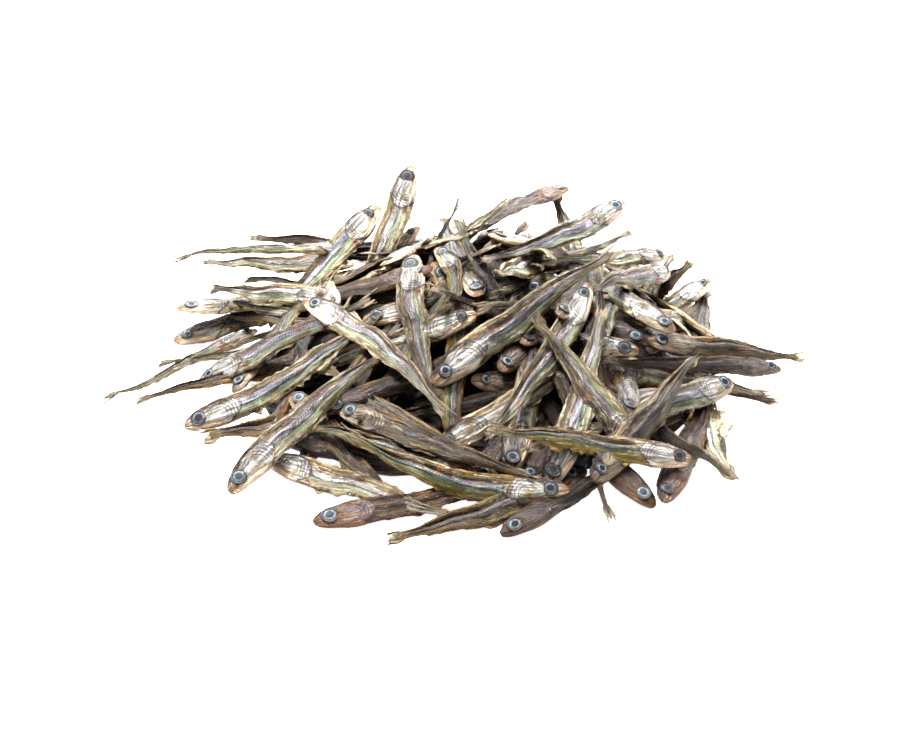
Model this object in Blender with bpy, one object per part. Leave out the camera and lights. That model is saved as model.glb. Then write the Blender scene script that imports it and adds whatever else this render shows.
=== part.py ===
"""A loose heap of small dried anchovies, as one solid.

Metres, +Z up. The origin is on the floor, in the middle of the heap's flat base, and the side
that is looked at faces -Y. A fish that shows is laid by a rule: it comes down a fan of sight
lines until it rests on the heap's cone, less the layers that lie over it, and on the fish that
lie there already. Those underneath come straight down. All are then fused onto the core.
"""

import math
from typing import NamedTuple

import bmesh
import bpy
import numpy as np

# Sizes of one fish, measured on whole dried anchovies
FISH_LENGTH = 0.060
LONGEST_FISH = 0.066
BODY_DEPTH = 0.0084
BODY_THICKNESS = 0.0032

# Sizes of the heap, a low cone with a blunt top
HEAP_RADIUS_X = 0.092
HEAP_RADIUS_Y = 0.084
HEAP_HEIGHT = 0.050
HEAP_CENTRE_X = -0.003
HEAP_CENTRE_Y = 0.002
HEAP_BLUNTNESS = 0.15
LAYERS = 6
LAYER_HEIGHT = 0.0022

# The core under the fish
CORE_SHARE = 0.78
CORE_SIDES = 20
CORE_RINGS = 5

# Where the heap is looked at from, which turns a place in the picture into a sight line
SIGHT_DISTANCE = 0.480
SIGHT_ELEVATION = math.radians(28.0)
SIGHT_FOCAL_PX = 1647.0
PICTURE_CENTRE_PX = (456.0, 375.5)
BASE_CENTRE_PX = (490.0, 378.0)

# The ground that the lower fish come to rest on: a grid of heights
GRID_STEP = 0.001
GRID_HALF_X = 0.125
GRID_HALF_Y = 0.110

# What the eye meets first: a grid of distances over the picture
CELL_PX = 2.0
FIELD_LEFT_PX = 90.0
FIELD_TOP_PX = 140.0
FIELD_COLUMNS = 375
FIELD_ROWS = 215
NEAREST = 0.330
FARTHEST = 0.640
MARCH_STEP = 0.0005
BACK_LIMIT_X = 0.110
BACK_LIMIT_Y = 0.052

# How a fish lies: where it balances, how deep it beds, and how much of its skin then touches
RAY_COUNT = 15
BALANCE = 0.42
SINK = 0.0009
OVERLAP = 0.0006
TOUCHING_SHARE = 0.03
MOST_LEAD = 0.0020
SETTLING_ROUNDS = 2
TOUCHING_ROWS = slice(5, -9)
SKEW = 0.8
MOST_LIFT = 0.0030
MOST_FALL = 0.0250
PRESSED_SHARE = 0.8
AIR_GAP = 0.0020
DIVE = 0.8
BURIED_HEIGHT = 0.006
MOST_SAG = 0.0012
MOST_DROOP = 0.0018
FACING = 0.45
FLOOR_GAP = 0.0005

# The fish underneath, which no list gives
UNDER_COUNT = 48
UNDER_SEED = 11
UNDER_SHARE = 0.80
UNDER_LAYERS = (2.0, 3.5)
UNDER_OUTLINE_PX = (465.0, 372.0, 258.0, 142.0)

# A fish as a solid: how many sides it has, and where along it they bend
SEEN_SIDES = 6
SEEN_STATIONS = (0.07, 0.24, 0.60, 0.90)
UNDER_SIDES = 5
UNDER_STATIONS = (0.18, 0.74)


class Seen(NamedTuple):
    """A fish as it shows: its layer in the heap, and the picture places of its nose and tail.

    The bow is how far its middle lies to the left of the straight line, in pixels; back says on
    which side its back is; hidden names the end that other fish cover; press leads it on, in metres.
    """

    layer: int
    nose: tuple
    tail: tuple
    girth: float = 1.0
    bow: float = 0.0
    back: int = 0
    roll: float = 0.0
    hidden: str = ""
    press: float = 0.0


class Laid(NamedTuple):
    """A fish at rest: its two ends, how its middle is bent aside, and which way it faces."""

    nose: np.ndarray
    tail: np.ndarray
    bend: np.ndarray
    flank: np.ndarray
    girth: float


BACK_LEFT = (
    Seen(1, (318, 240), (262, 268), 0.90, hidden="nose"),
    Seen(2, (318, 236), (176, 254), 0.60, bow=-4, hidden="nose"),
    Seen(3, (355, 268), (203, 267), 0.95),
    Seen(2, (335, 298), (210, 288), 0.60),
    Seen(2, (330, 281), (245, 274), 0.60, hidden="nose"),
    Seen(1, (330, 320), (215, 300), 0.60, hidden="nose"),
    Seen(1, (340, 325), (222, 316), 0.60, hidden="nose"),
    Seen(2, (176, 309), (320, 300), 0.90, hidden="tail"),
    Seen(1, (300, 302), (105, 401), 0.50, hidden="nose"),
    Seen(3, (173, 335), (310, 285), 1.00, hidden="tail"),
    Seen(2, (260, 345), (158, 364), 0.50, hidden="nose"),
    Seen(4, (198, 383), (365, 298), 1.00, hidden="tail"),
    Seen(2, (310, 362), (136, 409), 0.65, bow=-10, hidden="nose"),
)
FRONT_LEFT = (
    Seen(4, (183, 427), (378, 312), 1.00, bow=-12),
    Seen(3, (478, 314), (300, 365), 0.95, hidden="tail"),
    Seen(5, (229, 495), (395, 350), 1.05, bow=11),
    Seen(3, (264, 458), (455, 518), 0.95),
    Seen(3, (280, 440), (400, 485), 0.75, hidden="tail"),
    Seen(2, (311, 517), (500, 497), 0.90, hidden="tail"),
    Seen(3, (560, 497), (383, 530), 0.75, bow=10, hidden="nose"),
    Seen(5, (570, 490), (345, 432), 0.95, bow=20),
    Seen(4, (440, 500), (303, 424), 0.90, hidden="nose"),
    Seen(4, (345, 420), (530, 478), 0.90, hidden="nose"),
    Seen(4, (468, 470), (340, 405), 0.90, hidden="tail"),
    Seen(3, (442, 441), (396, 428), 0.70, hidden="tail"),
    Seen(4, (321, 413), (435, 368), 0.75, hidden="tail"),
    Seen(3, (335, 417), (405, 388), 0.45, hidden="tail"),
    Seen(3, (535, 393), (356, 417), 0.70, bow=8, hidden="nose"),
)
CENTRE = (
    Seen(3, (436, 451), (600, 360), 1.00, hidden="tail"),
    Seen(5, (415, 254), (443, 401), 1.00, bow=-14, back=-1, press=0.001),
    Seen(3, (303, 300), (447, 413), 0.90, bow=10),
    Seen(4, (590, 283), (484, 436), 0.90, bow=8),
    Seen(6, (432, 386), (615, 252), 1.10, bow=5),
    Seen(5, (478, 297), (449, 212), 0.95, back=-1, hidden="tail"),
    Seen(4, (525, 350), (458, 216), 0.95, back=-1, hidden="nose"),
    Seen(4, (385, 310), (458, 200), 0.45, hidden="nose"),
    Seen(3, (435, 248), (425, 322), 0.70, bow=26, back=1),
    Seen(4, (415, 164), (350, 275), 1.05, back=-1, hidden="tail"),
    Seen(3, (384, 207), (295, 268), 0.85, hidden="tail"),
    Seen(2, (420, 226), (378, 248), 0.70, hidden="tail"),
    Seen(3, (430, 238), (345, 282), 0.80, hidden="nose"),
    Seen(3, (410, 260), (335, 296), 0.90, hidden="nose"),
    Seen(4, (326, 296), (435, 275), 0.85, hidden="tail"),
    Seen(4, (362, 322), (465, 270), 0.90, hidden="tail"),
    Seen(2, (432, 262), (480, 330), 0.90, hidden="tail"),
    Seen(3, (586, 302), (530, 245), 0.90, hidden="tail"),
    Seen(2, (560, 318), (610, 250), 0.90, hidden="tail"),
    Seen(2, (522, 345), (600, 290), 0.90, hidden="tail"),
    Seen(2, (500, 372), (580, 310), 0.90, hidden="tail"),
)
FRONT_RIGHT = (
    Seen(5, (652, 470), (536, 318), 1.05, back=1, hidden="nose"),
    Seen(6, (693, 461), (490, 427), 0.90),
    Seen(3, (512, 474), (548, 330), 1.00, back=1, hidden="tail"),
    Seen(4, (548, 487), (612, 275), 1.05, bow=-6, back=1, hidden="tail"),
    Seen(2, (536, 432), (560, 360), 0.75, back=1, hidden="tail"),
    Seen(3, (655, 508), (520, 380), 0.90, hidden="tail"),
    Seen(4, (657, 500), (725, 400), 0.95, back=1, hidden="tail"),
    Seen(3, (545, 330), (613, 521), 0.50, hidden="nose"),
    Seen(2, (562, 488), (630, 410), 0.90, hidden="tail"),
    Seen(2, (527, 488), (570, 420), 0.90, hidden="tail"),
    Seen(3, (500, 540), (685, 452), 0.80, hidden="tail"),
    Seen(3, (580, 464), (493, 491), 0.55, hidden="nose"),
    Seen(5, (612, 490), (698, 356), 1.05, hidden="nose"),
    Seen(5, (620, 395), (733, 477), 0.75, hidden="nose"),
    Seen(3, (705, 385), (722, 470), 0.95, back=-1, hidden="nose"),
    Seen(3, (718, 395), (730, 475), 0.55, back=-1, hidden="nose"),
    Seen(4, (734, 382), (600, 430), 1.00, hidden="tail"),
    Seen(4, (632, 418), (655, 360), 0.95, back=1, hidden="tail"),
    Seen(3, (625, 365), (618, 430), 0.60, hidden="nose"),
    Seen(4, (650, 360), (596, 393), 0.55, hidden="nose"),
    Seen(2, (690, 410), (660, 440), 0.80, hidden="tail"),
)
BACK_RIGHT = (
    Seen(4, (646, 342), (803, 359), 0.90, press=-0.006),
    Seen(4, (782, 369), (603, 360), 0.75),
    Seen(3, (630, 366), (768, 392), 0.75, hidden="nose"),
    Seen(2, (690, 378), (780, 399), 0.60, hidden="nose"),
    Seen(3, (663, 315), (673, 252), 0.85, back=1, hidden="nose"),
    Seen(2, (684, 305), (686, 258), 0.50, back=1, hidden="nose"),
    Seen(2, (705, 325), (713, 287), 0.60, back=1, hidden="nose"),
    Seen(2, (712, 280), (665, 320), 0.80, hidden="tail"),
    Seen(3, (697, 325), (610, 305), 0.95, hidden="tail"),
    Seen(5, (675, 333), (560, 230), 1.00, hidden="tail"),
    Seen(5, (670, 271), (520, 300), 0.85, hidden="tail"),
    Seen(3, (667, 256), (530, 262), 0.80, hidden="tail"),
    Seen(2, (540, 262), (632, 232), 0.70, hidden="nose"),
    Seen(4, (626, 202), (478, 262), 0.95, bow=7),
    Seen(3, (569, 185), (440, 245), 0.85, bow=-5, hidden="tail"),
    Seen(2, (522, 236), (545, 203), 0.70, hidden="nose"),
    Seen(2, (548, 196), (565, 240), 0.60, back=1, hidden="tail"),
    Seen(4, (440, 240), (505, 200), 0.90, hidden="nose"),
    Seen(2, (548, 238), (478, 246), 0.60, hidden="tail"),
    Seen(2, (595, 262), (500, 268), 0.70, hidden="tail"),
    Seen(2, (548, 280), (505, 296), 0.80, hidden="tail"),
    Seen(4, (640, 352), (560, 335), 0.85, hidden="tail"),
    Seen(3, (650, 345), (600, 300), 0.80, hidden="tail"),
)
SEEN_FISH = BACK_LEFT + FRONT_LEFT + CENTRE + FRONT_RIGHT + BACK_RIGHT


def unit(vector):
    """The vector at length one."""
    return vector / np.linalg.norm(vector)


def sight():
    """The eye's place and its three directions: ahead, right and up."""
    ahead = np.array([0.0, math.cos(SIGHT_ELEVATION), -math.sin(SIGHT_ELEVATION)])
    right = np.array([1.0, 0.0, 0.0])
    up = np.cross(right, ahead)
    scale = SIGHT_DISTANCE / SIGHT_FOCAL_PX
    aside = (PICTURE_CENTRE_PX[0] - BASE_CENTRE_PX[0]) * scale
    above = (BASE_CENTRE_PX[1] - PICTURE_CENTRE_PX[1]) * scale
    eye = right * aside + up * above - ahead * SIGHT_DISTANCE
    return eye, ahead, right, up


def sight_lines(places):
    """The start and the direction of the sight line through each picture place."""
    eye, ahead, right, up = sight()
    across = (places[:, :1] - PICTURE_CENTRE_PX[0]) * right
    rise = (PICTURE_CENTRE_PX[1] - places[:, 1:]) * up
    headings = ahead * SIGHT_FOCAL_PX + across + rise
    headings = headings / np.linalg.norm(headings, axis=1, keepdims=True)
    return np.repeat(eye[None], len(places), axis=0), headings


def picture_place(points):
    """Where points in space show in the picture, in pixels."""
    eye, ahead, right, up = sight()
    away = points - eye
    depth = away @ ahead
    return np.stack(
        [
            PICTURE_CENTRE_PX[0] + SIGHT_FOCAL_PX * (away @ right) / depth,
            PICTURE_CENTRE_PX[1] - SIGHT_FOCAL_PX * (away @ up) / depth,
        ],
        axis=-1,
    )


def heap_height(x, y):
    """The heap's outer surface: a cone with a blunt top, below zero past its rim."""
    reach = np.hypot((x - HEAP_CENTRE_X) / HEAP_RADIUS_X, (y - HEAP_CENTRE_Y) / HEAP_RADIUS_Y)
    fall = np.hypot(reach, HEAP_BLUNTNESS) - HEAP_BLUNTNESS
    return HEAP_HEIGHT * (1.0 - fall / (math.hypot(1.0, HEAP_BLUNTNESS) - HEAP_BLUNTNESS))


def shell_height(x, y, layer):
    """The surface that the fish of one layer lie on, down to the floor."""
    return np.maximum(heap_height(x, y) - (LAYERS + 1 - layer) * LAYER_HEIGHT, 0.0)


def core_height(x, y):
    """The core's upper surface, the same cone at a smaller size."""
    inner = heap_height(
        HEAP_CENTRE_X + (x - HEAP_CENTRE_X) / CORE_SHARE,
        HEAP_CENTRE_Y + (y - HEAP_CENTRE_Y) / CORE_SHARE,
    )
    return np.maximum(inner * CORE_SHARE, 0.0)


def march(starts, headings, height_at):
    """How far along each sight line a surface, or the heap's far limit, is met."""
    steps = np.arange(NEAREST, FARTHEST, MARCH_STEP)
    places = starts[:, None] + headings[:, None] * steps[None, :, None]
    x, y, z = places[..., 0], places[..., 1], places[..., 2]
    beyond = (y > 0.0) & ((x / BACK_LIMIT_X) ** 2 + (y / BACK_LIMIT_Y) ** 2 > 1.0)
    return steps[((z < height_at(x, y)) | beyond).argmax(axis=1)]


class Ground:
    """What has been laid so far, as a height over each spot of the floor."""

    def __init__(self):
        self.x = np.arange(-GRID_HALF_X, GRID_HALF_X, GRID_STEP)
        self.y = np.arange(-GRID_HALF_Y, GRID_HALF_Y, GRID_STEP)
        self.height = core_height(self.x[:, None], self.y[None, :])
        self.spread()

    def spread(self):
        """Widens every hump by one step, so that a fish's side clears it too."""
        wide = self.height.copy()
        for axis in (0, 1):
            for shift in (-1, 1):
                wide = np.maximum(wide, np.roll(wide, shift, axis=axis))
        self.wide = wide

    def cells(self, x, y):
        """The grid cell of each place, held inside the grid."""
        i = np.clip(((x + GRID_HALF_X) / GRID_STEP).astype(int), 0, len(self.x) - 1)
        j = np.clip(((y + GRID_HALF_Y) / GRID_STEP).astype(int), 0, len(self.y) - 1)
        return i, j

    def drop(self, starts):
        """How far below each place the ground is met."""
        i, j = self.cells(starts[:, 0], starts[:, 1])
        return starts[:, 2] - self.wide[i, j]

    def normal(self, place, reach=0.012):
        """The ground's mean direction around a place."""
        i, j = self.cells(np.array([place[0]]), np.array([place[1]]))
        n = int(reach / GRID_STEP)
        patch = self.height[max(i[0] - n, 0) : i[0] + n + 1, max(j[0] - n, 0) : j[0] + n + 1]
        slope_x = np.diff(patch, axis=0).mean() / GRID_STEP
        slope_y = np.diff(patch, axis=1).mean() / GRID_STEP
        return unit(np.array([-slope_x, -slope_y, 1.0]))

    def add(self, fish):
        """Raises the ground by the fish's upper surface."""
        skin = skin_points(fish, 90, 33)
        np.maximum.at(self.height, self.cells(skin[..., 0], skin[..., 1]), skin[..., 2])
        self.spread()


class Sightings:
    """How far off the heap, or the floor, is met along the sight line through each picture cell."""

    def __init__(self, under):
        core_rows = []
        floor_rows = []
        u = FIELD_LEFT_PX + CELL_PX * (np.arange(FIELD_COLUMNS) + 0.5)
        for row in range(FIELD_ROWS):
            v = np.full_like(u, FIELD_TOP_PX + CELL_PX * (row + 0.5))
            starts, headings = sight_lines(np.stack([u, v], axis=1))
            away = march(starts, headings, core_height)
            met = starts + headings * away[:, None]
            in_air = met[:, 2] > core_height(met[:, 0], met[:, 1]) + AIR_GAP
            on_floor = met[:, 2] < AIR_GAP
            core_rows.append(np.where(in_air | on_floor, np.inf, away))
            floor_rows.append(np.where(on_floor, away, np.inf))
        self.distance = np.array(core_rows)
        self.floor = np.array(floor_rows)
        for fish in under:
            self.add(fish)

    def cells(self, places):
        """The row and column of each picture place."""
        column = ((places[..., 0] - FIELD_LEFT_PX) / CELL_PX).astype(int)
        row = ((places[..., 1] - FIELD_TOP_PX) / CELL_PX).astype(int)
        return np.clip(row, 0, FIELD_ROWS - 1), np.clip(column, 0, FIELD_COLUMNS - 1)

    def contact(self, places, left, half_widths):
        """The nearest distance across the body at each place along it."""
        across = np.linspace(-1.0, 1.0, 5)
        wide = places[:, None] + (half_widths[:, None] * across)[..., None] * left
        cells = self.cells(wide)
        return np.minimum(self.distance[cells], self.floor[cells]).min(axis=1)

    def add(self, fish):
        """Brings the sight lines that meet the fish forward to its skin."""
        skin = skin_points(fish, 150, 25)
        away = np.linalg.norm(skin - sight()[0], axis=-1)
        np.minimum.at(self.distance, self.cells(picture_place(skin)), away)


def skin_points(fish, along, around):
    """Points all over the skin of a fish."""
    s = np.linspace(0.0, 1.0, along)
    turn = np.linspace(0.0, 2.0 * math.pi, around)
    spine, side, flank = frames(fish, s)
    upper, lower, thick = outline(s)
    depth = np.where(np.cos(turn) > 0.0, upper[:, None], lower[:, None]) * np.cos(turn)
    high = thick[:, None] * np.sin(turn)
    return (
        spine[:, None]
        + side[:, None] * (depth * fish.girth)[..., None]
        + flank[:, None] * high[..., None]
    )


def outline(s):
    """Half depths above and below the spine, and half thickness, at shares of the length."""
    at = (0.0, 0.05, 0.13, 0.22, 0.34, 0.50, 0.66, 0.80, 0.88, 0.94, 1.0)
    above = (0.05, 0.46, 0.86, 1.00, 0.98, 0.86, 0.66, 0.43, 0.27, 0.32, 0.40)
    below = (0.07, 0.46, 0.84, 1.00, 1.00, 0.88, 0.64, 0.38, 0.24, 0.30, 0.38)
    thick = (0.10, 0.45, 0.85, 1.00, 0.98, 0.84, 0.64, 0.42, 0.28, 0.22, 0.14)
    return (
        np.interp(s, at, above) * BODY_DEPTH / 2,
        np.interp(s, at, below) * BODY_DEPTH / 2,
        np.interp(s, at, thick) * BODY_THICKNESS / 2,
    )


def frames(fish, s):
    """The spine's points and, at each, the direction of the back and of the upper flank."""
    chord = fish.tail - fish.nose
    arch = (4.0 * s * (1.0 - s))[:, None]
    spine = fish.nose + s[:, None] * chord + arch * fish.bend
    run = chord + (4.0 - 8.0 * s)[:, None] * fish.bend
    run = run / np.linalg.norm(run, axis=1, keepdims=True)
    side = np.cross(fish.flank, run)
    side = side / np.linalg.norm(side, axis=1, keepdims=True)
    return spine, side, np.cross(run, side)


def resting_line(s, depth):
    """The depths at both ends of the line that lies on the ground under the middle."""
    best = None
    for i in range(len(s)):
        for j in range(i + 1, len(s)):
            if not s[i] <= BALANCE <= s[j]:
                continue
            slope = (depth[j] - depth[i]) / (s[j] - s[i])
            start = depth[i] - slope * s[i]
            if (start + slope * s > depth + 1e-9).any():
                continue
            value = start + slope * BALANCE
            if best is None or value > best[0]:
                best = (value, start, start + slope)
    return best[1], best[2]


def settled(line, contact):
    """How far a fish gives way along its lines: down until it touches, or a little up."""
    over = np.maximum(line - contact, -MOST_FALL)
    if over.max() < 0.0:
        return -over.max() if over.max() > -MOST_FALL else 0.0
    return -min(np.quantile(over, PRESSED_SHARE), MOST_LIFT)


def buried(shown, end):
    """The hidden end, cut back or led on into the heap so that the fish has its whole length."""
    run = end - shown
    short = FISH_LENGTH - np.linalg.norm(run)
    if short <= 0.0:
        return end + unit(run) * short
    inward = unit(np.array([HEAP_CENTRE_X, HEAP_CENTRE_Y, BURIED_HEIGHT]) - end)
    deep = end + unit(unit(run) + DIVE * inward) * short
    return np.array([deep[0], deep[1], max(deep[2], BURIED_HEIGHT)])


def near_end(fixed, start, heading, depth):
    """The depth of the free end, drawn in until the fish is no longer than it may be."""
    for _ in range(400):
        if np.linalg.norm(start + heading * depth - fixed) <= LONGEST_FISH:
            break
        if (start + heading * depth - fixed) @ heading <= 0.0:
            break
        depth -= MARCH_STEP
    return depth


def faced(ground, middle, run, side_hint, roll, facing):
    """The direction that the upper flank faces, with the back towards the hint."""
    eye = sight()[0]
    flank = unit((1.0 - facing) * ground.normal(middle) + facing * unit(eye - middle))
    flank = unit(flank - run * (flank @ run))
    if np.cross(flank, run) @ side_hint < 0.0:
        flank = -flank
    turn = math.radians(roll)
    return unit(flank * math.cos(turn) + np.cross(run, flank) * math.sin(turn))


def drape(s, depth, line):
    """How far the middle gives way between its rests, or the ends droop past them."""
    gap = depth - line
    middle = gap[len(s) // 2]
    ends = (gap[0] + gap[-1]) / 2
    give = 0.5 * (middle - ends)
    return float(np.clip(give, -MOST_DROOP, MOST_SAG))


def lifted(fish):
    """The same fish, with each end raised clear of the floor."""
    s = np.linspace(0.0, 1.0, 25)
    spine, side, flank = frames(fish, s)
    upper, lower, thick = outline(s)
    reach = np.maximum(upper, lower) * fish.girth * np.abs(side[:, 2])
    short = FLOOR_GAP + np.maximum(reach, thick * np.abs(flank[:, 2])) - spine[:, 2]
    up = np.array([0.0, 0.0, 1.0])
    nose = fish.nose + up * max(short[s < 0.5].max(), 0.0)
    tail = fish.tail + up * max(short[s >= 0.5].max(), 0.0)
    return fish._replace(nose=nose, tail=tail)


def bedded(fish, heading, sightings):
    """The same fish, led on down its sight line where it would hang clear of the heap."""
    body = skin_points(fish, 60, 13)[TOUCHING_ROWS]
    away = np.linalg.norm(body - sight()[0], axis=-1)
    gap = sightings.distance[sightings.cells(picture_place(body))] - away
    clear = np.sort(gap, axis=None)[int(gap.size * TOUCHING_SHARE)]
    on = heading * min(max(clear + OVERLAP, 0.0), MOST_LEAD)
    return fish._replace(nose=fish.nose + on, tail=fish.tail + on)


def lay_seen(seen, ground, sightings):
    """Brings a fish down its sight lines until it rests."""
    s = np.linspace(0.0, 1.0, RAY_COUNT)
    nose = np.array(seen.nose, float)
    tail = np.array(seen.tail, float)
    along = tail - nose
    left = np.array([along[1], -along[0]]) / np.linalg.norm(along)
    places = nose + s[:, None] * along + (4.0 * s * (1.0 - s))[:, None] * left * seen.bow
    starts, headings = sight_lines(places)
    upper, lower, thick = outline(s)
    half_widths = 0.5 * upper * seen.girth * SIGHT_FOCAL_PX / SIGHT_DISTANCE
    depth = march(starts, headings, lambda x, y: shell_height(x, y, seen.layer))
    nose_depth, tail_depth = resting_line(s, depth)
    if not seen.hidden and nose_depth > tail_depth:
        shown = starts[-1] + headings[-1] * tail_depth
        nose_depth = near_end(shown, starts[0], headings[0], nose_depth)
    elif not seen.hidden:
        shown = starts[0] + headings[0] * nose_depth
        tail_depth = near_end(shown, starts[-1], headings[-1], tail_depth)
    line = nose_depth + s * (tail_depth - nose_depth)
    contact = sightings.contact(places, left, half_widths) - thick / SKEW + SINK
    give = drape(s, depth, line)
    down = max(-give, 0.0) + settled(line, contact) + seen.press
    nose_end = starts[0] + headings[0] * (nose_depth + down)
    tail_end = starts[-1] + headings[-1] * (tail_depth + down)
    if seen.hidden == "tail":
        tail_end = buried(nose_end, tail_end)
    elif seen.hidden == "nose":
        nose_end = buried(tail_end, nose_end)
    run = unit(tail_end - nose_end)
    _, _, right, up = sight()
    back = seen.back or (1 if along[0] > 0.0 else -1)
    hint = (right * left[0] - up * left[1]) * back
    middle = (nose_end + tail_end) / 2
    flank = faced(ground, middle, run, hint, seen.roll, FACING)
    sideways = seen.bow * nose_depth / SIGHT_FOCAL_PX
    bend = (right * left[0] - up * left[1]) * sideways + headings[RAY_COUNT // 2] * give
    fish = Laid(nose_end, tail_end, bend, flank, seen.girth)
    for _ in range(SETTLING_ROUNDS):
        fish = lifted(bedded(fish, headings[RAY_COUNT // 2], sightings))
    return fish


def lay_under(ground, middle, heading, length, girth, bow, roll, layer):
    """Drops a fish straight down at a spot of the floor until it rests."""
    s = np.linspace(0.0, 1.0, RAY_COUNT)
    run = np.array([math.cos(heading), math.sin(heading), 0.0])
    left = np.array([-run[1], run[0], 0.0])
    arch = (4.0 * s * (1.0 - s))[:, None]
    start = np.array([middle[0], middle[1], SIGHT_DISTANCE])
    starts = start + run * ((s - 0.5) * length)[:, None] + left * bow * arch
    down = np.array([0.0, 0.0, -1.0])
    depth = SIGHT_DISTANCE - shell_height(starts[:, 0], starts[:, 1], layer)
    nose_depth, tail_depth = resting_line(s, depth)
    line = nose_depth + s * (tail_depth - nose_depth)
    give = drape(s, depth, line)
    fall = max(-give, 0.0) + settled(line, ground.drop(starts) - outline(s)[2] + SINK)
    nose_end = starts[0] + down * (nose_depth + fall)
    tail_end = starts[-1] + down * (tail_depth + fall)
    chord = unit(tail_end - nose_end)
    flank = faced(ground, (nose_end + tail_end) / 2, chord, left, roll, 0.0)
    bend = left * bow + down * give
    return lifted(Laid(nose_end, tail_end, bend, flank, girth))


def inside_outline(fish):
    """Whether the whole fish shows within the heap's rounded outline."""
    spine, _, _ = frames(fish, np.linspace(0.0, 1.0, 9))
    u, v, half_width, half_height = UNDER_OUTLINE_PX
    away = (picture_place(spine) - (u, v)) / (half_width, half_height)
    return bool((np.hypot(away[:, 0], away[:, 1]) < 1.0).all())


def under_fish(ground):
    """The fish that lie between the core and those that show, spread evenly by the golden angle."""
    rng = np.random.default_rng(UNDER_SEED)
    golden = math.pi * (3.0 - math.sqrt(5.0))
    found = []
    for k in range(UNDER_COUNT):
        reach = math.sqrt((k + 0.5) / UNDER_COUNT)
        turn = k * golden
        middle = (
            HEAP_CENTRE_X + reach * UNDER_SHARE * HEAP_RADIUS_X * math.cos(turn),
            HEAP_CENTRE_Y + reach * UNDER_SHARE * HEAP_RADIUS_Y * math.sin(turn),
        )
        heading = rng.uniform(0.0, 2.0 * math.pi)
        length = rng.uniform(0.050, 0.062)
        girth = rng.uniform(0.75, 1.0)
        bow = rng.uniform(-0.003, 0.003)
        roll = rng.uniform(-25.0, 25.0)
        layer = UNDER_LAYERS[0] + (UNDER_LAYERS[1] - UNDER_LAYERS[0]) * k / UNDER_COUNT
        fish = lay_under(ground, middle, heading, length, girth, bow, roll, layer)
        if inside_outline(fish):
            ground.add(fish)
            found.append(fish)
    return found


def laid_heap():
    """Every fish of the heap, from the core outwards: those underneath and those that show."""
    ground = Ground()
    under = under_fish(ground)
    sightings = Sightings(under)
    seen = []
    for place in sorted(SEEN_FISH, key=lambda fish: fish.layer):
        fish = lay_seen(place, ground, sightings)
        ground.add(fish)
        sightings.add(fish)
        seen.append(fish)
    return under, seen


def clear_scene():
    """Removes whatever the new file came with."""
    for obj in list(bpy.data.objects):
        bpy.data.objects.remove(obj)


def dried_fish_material():
    """Silvery brown skin, half dull."""
    material = bpy.data.materials.new("dried_fish_skin")
    material.use_nodes = True
    skin = material.node_tree.nodes["Principled BSDF"]
    skin.inputs["Base Color"].default_value = (0.36, 0.30, 0.22, 1.0)
    skin.inputs["Roughness"].default_value = 0.5
    skin.inputs["Metallic"].default_value = 0.15
    return material


def solid_from(name, points, faces):
    """A mesh object with its faces turned outwards."""
    mesh = bpy.data.meshes.new(name)
    mesh.from_pydata([tuple(point) for point in points], [], faces)
    shape = bmesh.new()
    shape.from_mesh(mesh)
    bmesh.ops.recalc_face_normals(shape, faces=shape.faces)
    shape.to_mesh(mesh)
    shape.free()
    return bpy.data.objects.new(name, mesh)


def tube_faces(ring_count, sides):
    """Faces between rings of points, closed by one point at each end."""
    faces = []
    for k in range(sides):
        n = (k + 1) % sides
        faces.append((0, 1 + n, 1 + k))
        for ring in range(ring_count - 1):
            a = 1 + ring * sides
            b = a + sides
            faces.append((a + k, a + n, b + n, b + k))
        last = 1 + (ring_count - 1) * sides
        faces.append((last + k, last + n, last + sides))
    return faces


def fish_solid(name, fish, sides, stations):
    """A fish with few sides: a flattened body between a nose point and a tail point."""
    s = np.array((0.0,) + stations + (1.0,))
    spine, side, flank = frames(fish, s)
    upper, lower, thick = outline(s)
    points = [spine[0]]
    for k in range(1, len(s) - 1):
        for n in range(sides):
            turn = 2.0 * math.pi * n / sides
            depth = upper[k] if math.cos(turn) > 0.0 else lower[k]
            reach = side[k] * math.cos(turn) * depth * fish.girth
            points.append(spine[k] + reach + flank[k] * math.sin(turn) * thick[k] * 1.1)
    points.append(spine[-1])
    return solid_from(name, points, tube_faces(len(stations), sides))


def core_solid(name):
    """The heap's middle: a mound with a flat base."""
    points = [(HEAP_CENTRE_X, HEAP_CENTRE_Y, 0.0)]
    for ring in range(CORE_RINGS):
        reach = CORE_SHARE * (1.0 - ring / CORE_RINGS)
        for n in range(CORE_SIDES):
            turn = 2.0 * math.pi * n / CORE_SIDES
            x = HEAP_CENTRE_X + HEAP_RADIUS_X * reach * math.cos(turn)
            y = HEAP_CENTRE_Y + HEAP_RADIUS_Y * reach * math.sin(turn)
            points.append((x, y, float(core_height(x, y))))
    points.append((HEAP_CENTRE_X, HEAP_CENTRE_Y, float(core_height(HEAP_CENTRE_X, HEAP_CENTRE_Y))))
    return solid_from(name, points, tube_faces(CORE_RINGS, CORE_SIDES))


def keep_largest(obj):
    """Drops loose scraps and the walls of sealed hollows, which are shells of their own."""
    shape = bmesh.new()
    shape.from_mesh(obj.data)
    left = set(shape.verts)
    shells = []
    while left:
        edge = [left.pop()]
        shell = set(edge)
        while edge:
            for link in edge.pop().link_edges:
                for vert in link.verts:
                    if vert in left:
                        left.remove(vert)
                        shell.add(vert)
                        edge.append(vert)
        shells.append(shell)
    shells.sort(key=len)
    loose = [vert for shell in shells[:-1] for vert in shell]
    bmesh.ops.delete(shape, geom=loose, context="VERTS")
    shape.to_mesh(obj.data)
    shape.free()


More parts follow.
